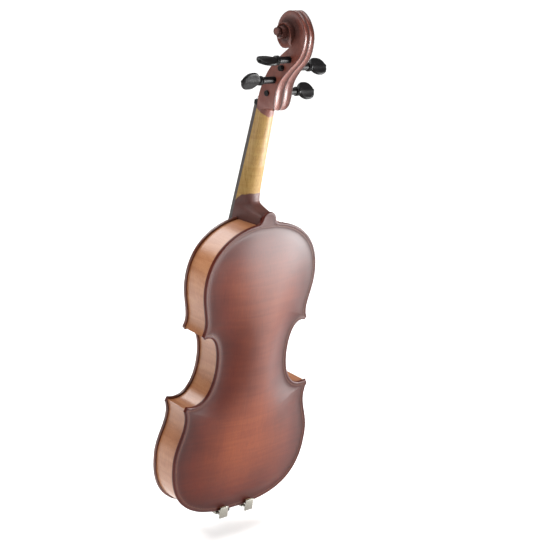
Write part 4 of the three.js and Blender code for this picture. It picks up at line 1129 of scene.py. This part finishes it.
PEGS = {  # which side, y and z on the pegbox, reach of the tip, turn of the head in degrees
    "g": (-1, 12.0, 148.5, 58.5, 45), "e": (1, 17.4, 165.6, 59.0, 75),
    "d": (-1, 24.6, 181.6, 56.0, 40), "a": (1, 32.0, 193.4, 55.0, -5),
}
PEG_HEAD = [  # share of its length, half width, half thickness in the middle and of the wings
    (0.0, 3.9, 3.8, 3.4), (0.05, 5.2, 3.7, 3.1), (0.12, 7.4, 3.6, 2.8), (0.22, 9.3, 3.4, 2.5),
    (0.35, 10.3, 3.2, 2.3), (0.5, 10.45, 3.1, 2.2), (0.65, 10.2, 3.0, 2.2), (0.78, 9.2, 2.9, 2.2),
    (0.88, 7.4, 2.7, 2.1), (0.95, 5.1, 2.4, 1.9), (0.985, 2.9, 1.7, 1.4), (1.0, 0.6, 0.5, 0.4),
]
PEG_HEAD_LENGTH = 22.6
PEG_HEAD_REACH = 24.0  # with the bead on its end
AROUND = 40


def peg_head(name, start, material):
    """The flat head as rings across its length, thick in the middle and thin in the wings."""
    at = np.linspace(0, 1, 41)
    at = 0.5 - 0.5 * np.cos(math.pi * at)
    table = np.array(PEG_HEAD)
    rings = np.array([along_stations(table, share) for share in at])
    points = []
    for share, (half, middle, wing) in zip(at, rings):
        for k in range(AROUND):
            angle = 2 * math.pi * k / AROUND
            across = math.cos(angle)
            ridge = math.exp(-((across * half / 3.0) ** 2))
            rim = 0.35 * smooth((abs(across) - 0.6) / 0.3)
            thick = (wing + rim + (middle - wing) * ridge) * abs(math.sin(angle)) ** 0.6
            points.append((start + share * PEG_HEAD_LENGTH, half * across,
                           math.copysign(thick, math.sin(angle))))
    faces = grid_faces(len(at), AROUND, wrap=True)
    faces += [list(range(AROUND))[::-1], [len(points) - AROUND + k for k in range(AROUND)]]
    return skin(name, points, faces, material, 50)


def peg(string, side, y, z, tip, turn):
    """One peg, turned and filed, and put in its place in the pegbox."""
    start = tip - PEG_HEAD_REACH
    shaft = turned(f"peg_{string}", [
        (-14.4, 0.0), (-14.4, 2.9), (-14.1, 3.2), (-12.0, 3.25), (0.0, 3.5), (14.0, 3.85),
        (start - 5.6, 3.9), (start - 5.2, 4.4), (start - 4.7, 5.1), (start - 4.0, 5.35),
        (start - 3.3, 5.1), (start - 2.9, 4.6), (start - 2.4, 4.9), (start - 1.8, 5.3),
        (start - 1.0, 5.2), (start - 0.4, 4.5), (start + 0.2, 3.9), (start + 1.4, 3.6),
        (start + 1.4, 0.0),
    ], ebony)
    bead = turned("bead", [
        (tip - 2.4, 0.0), (tip - 2.2, 1.1), (tip - 1.9, 1.2), (tip - 1.5, 1.75),
        (tip - 0.9, 1.9), (tip - 0.4, 1.5), (tip - 0.1, 0.8), (tip, 0.0),
    ], ebony, 24, 60)
    whole = joined(shaft, peg_head("head", start, ebony), bead)
    place = NECK_PLACE @ Matrix.Translation((0, y, z))
    if side < 0:
        place = place @ Matrix.Rotation(math.pi, 4, "Z")
    place = place @ Matrix.Rotation(math.radians(turn), 4, "X")
    scaled = Matrix.Diagonal((MM, MM, MM, 1.0))
    moved(whole, scaled @ place @ scaled.inverted())
    return settle(whole, f"peg_{string}", "ebony", f"peg_{string}")


for string, facts in PEGS.items():
    peg(string, *facts)
print("pegs reach", [facts[3] for facts in PEGS.values()], "mm from the middle")

# %% [markdown]
# The fittings were given their true shape in the frame already, but with raw edges. Each is copied,
# its loose triangles are merged and flattened into faces, its sharp edges are broken by a small
# bevel as a file would do, and it is shaded smooth between them.


# %% Fittings with broken edges
def refined(part, name, bevel, material, slot, body="instrument", crease=32, flat=0.5):
    """A clean copy of a plain part, with its sharp edges rounded by a small bevel."""
    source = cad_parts[part]
    piece = bpy.data.objects.new(name, source.data.copy())
    bpy.context.scene.collection.objects.link(piece)
    piece.data.materials.clear()
    piece.data.materials.append(material)
    for polygon in piece.data.polygons:
        polygon.material_index = 0
    pick(piece)
    bpy.ops.object.mode_set(mode="EDIT")
    bpy.ops.mesh.select_all(action="SELECT")
    bpy.ops.mesh.remove_doubles(threshold=4e-6)
    bpy.ops.mesh.dissolve_limited(angle_limit=math.radians(flat))
    bpy.ops.object.mode_set(mode="OBJECT")
    if bevel:
        edge = piece.modifiers.new("broken_edges", "BEVEL")
        edge.width = bevel * MM
        edge.segments = 2
        edge.limit_method = "ANGLE"
        edge.angle_limit = math.radians(crease)
        edge.use_clamp_overlap = True
        edge.harden_normals = False
        bpy.ops.object.modifier_apply(modifier=edge.name)
    return settle(smoothed(piece, crease), body, slot, part)


FITTINGS = [  # part, name, bevel in millimetres, finish, slot, body
    ("fingerboard", "ebony_fingerboard", 0.35, planed_ebony, "ebony", "instrument"),
    ("nut", "string_nut", 0.25, ebony, "ebony", "instrument"),
    ("end_button", "turned_end_button", 0.0, ebony, "ebony", "instrument"),
    ("saddle", "ebony_saddle", 0.3, ebony, "ebony", "instrument"),
    ("bridge", "carved_bridge", 0.12, bridge_maple, "bridge_maple", "instrument"),
    ("tailpiece", "arched_tailpiece", 0.3, ebony, "ebony", "instrument"),
    ("tailgut", "tailgut_loop", 0.0, nylon, "nylon_gut", "instrument"),
    ("fine_tuner_frame", "tuner_frame", 0.12, nickel, "nickel", "instrument"),
    ("fine_tuner_lever", "tuner_lever", 0.12, nickel, "nickel", "tuner_lever"),
    ("fine_tuner_screw", "tuner_screw", 0.0, nickel, "nickel", "tuner_screw"),
    ("chin_rest", "chin_rest_cup", 0.0, chin_rest_ebony, "boxed_ebony", "instrument"),
]
for side in SIDES:
    FITTINGS += [
        (f"chin_rest_cork_{side}", f"cork_strip_{side}", 0.15, cork, "cork", "instrument"),
        (f"clamp_leg_{side}", f"clamp_rod_{side}", 0.0, nickel, "nickel", "instrument"),
        (f"clamp_barrel_{side}", f"clamp_barrel_{side}_nut", 0.1, nickel, "nickel",
         f"barrel_{side}"),
        (f"clamp_foot_{side}", f"clamp_plate_{side}", 0.15, nickel, "nickel", f"foot_{side}"),
    ]
for part, name, bevel, material, slot, body in FITTINGS:
    refined(part, name, bevel, material, slot, body)
print(len(FITTINGS), "fittings with broken edges")

# %% [markdown]
# A thin pad of cork is glued under each clamp foot, so that the metal never touches the varnish. It
# is a block with its edges rounded in edit mode, and it moves with its foot.

# %% Cork under the clamp feet
PAD_SIZE = (8.6, 1.3, 5.0)
PAD_PLACE = (20.0, 20.25, 3.4)
for name, side in SIDES.items():
    bpy.ops.object.select_all(action="DESELECT")
    bpy.ops.mesh.primitive_cube_add(size=1.0)
    pad = bpy.context.object
    pad.name = f"cork_pad_{name}"
    x, y, z = PAD_PLACE
    moved(pad, Matrix.Translation((side * x * MM, y * MM, z * MM))
          @ Matrix.Diagonal([size * MM for size in PAD_SIZE] + [1.0]))
    bpy.ops.object.mode_set(mode="EDIT")
    bpy.ops.mesh.select_all(action="SELECT")
    bpy.ops.mesh.bevel(offset=0.3 * MM, segments=2)
    bpy.ops.object.mode_set(mode="OBJECT")
    pad.data.materials.append(cork)
    smoothed(pad, 32)
    settle(pad, f"foot_{name}", "cork")
print("pads of", PAD_SIZE, "mm")

# %% [markdown]
# What stays hidden inside the body, and the strings, keep the frame's own shape and only get their
# finish: planed spruce for the linings, blocks, bass bar and sound post, and wound silver for the
# strings.

# %% Inner parts and strings
INNER = ("lining", "corner_block", "end_block", "neck_block", "bass_bar", "sound_post")
for name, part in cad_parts.items():
    is_string = name.startswith("string_")
    if is_string or name.startswith(INNER):
        part.data.materials.clear()
        part.data.materials.append(wound_silver if is_string else spruce)
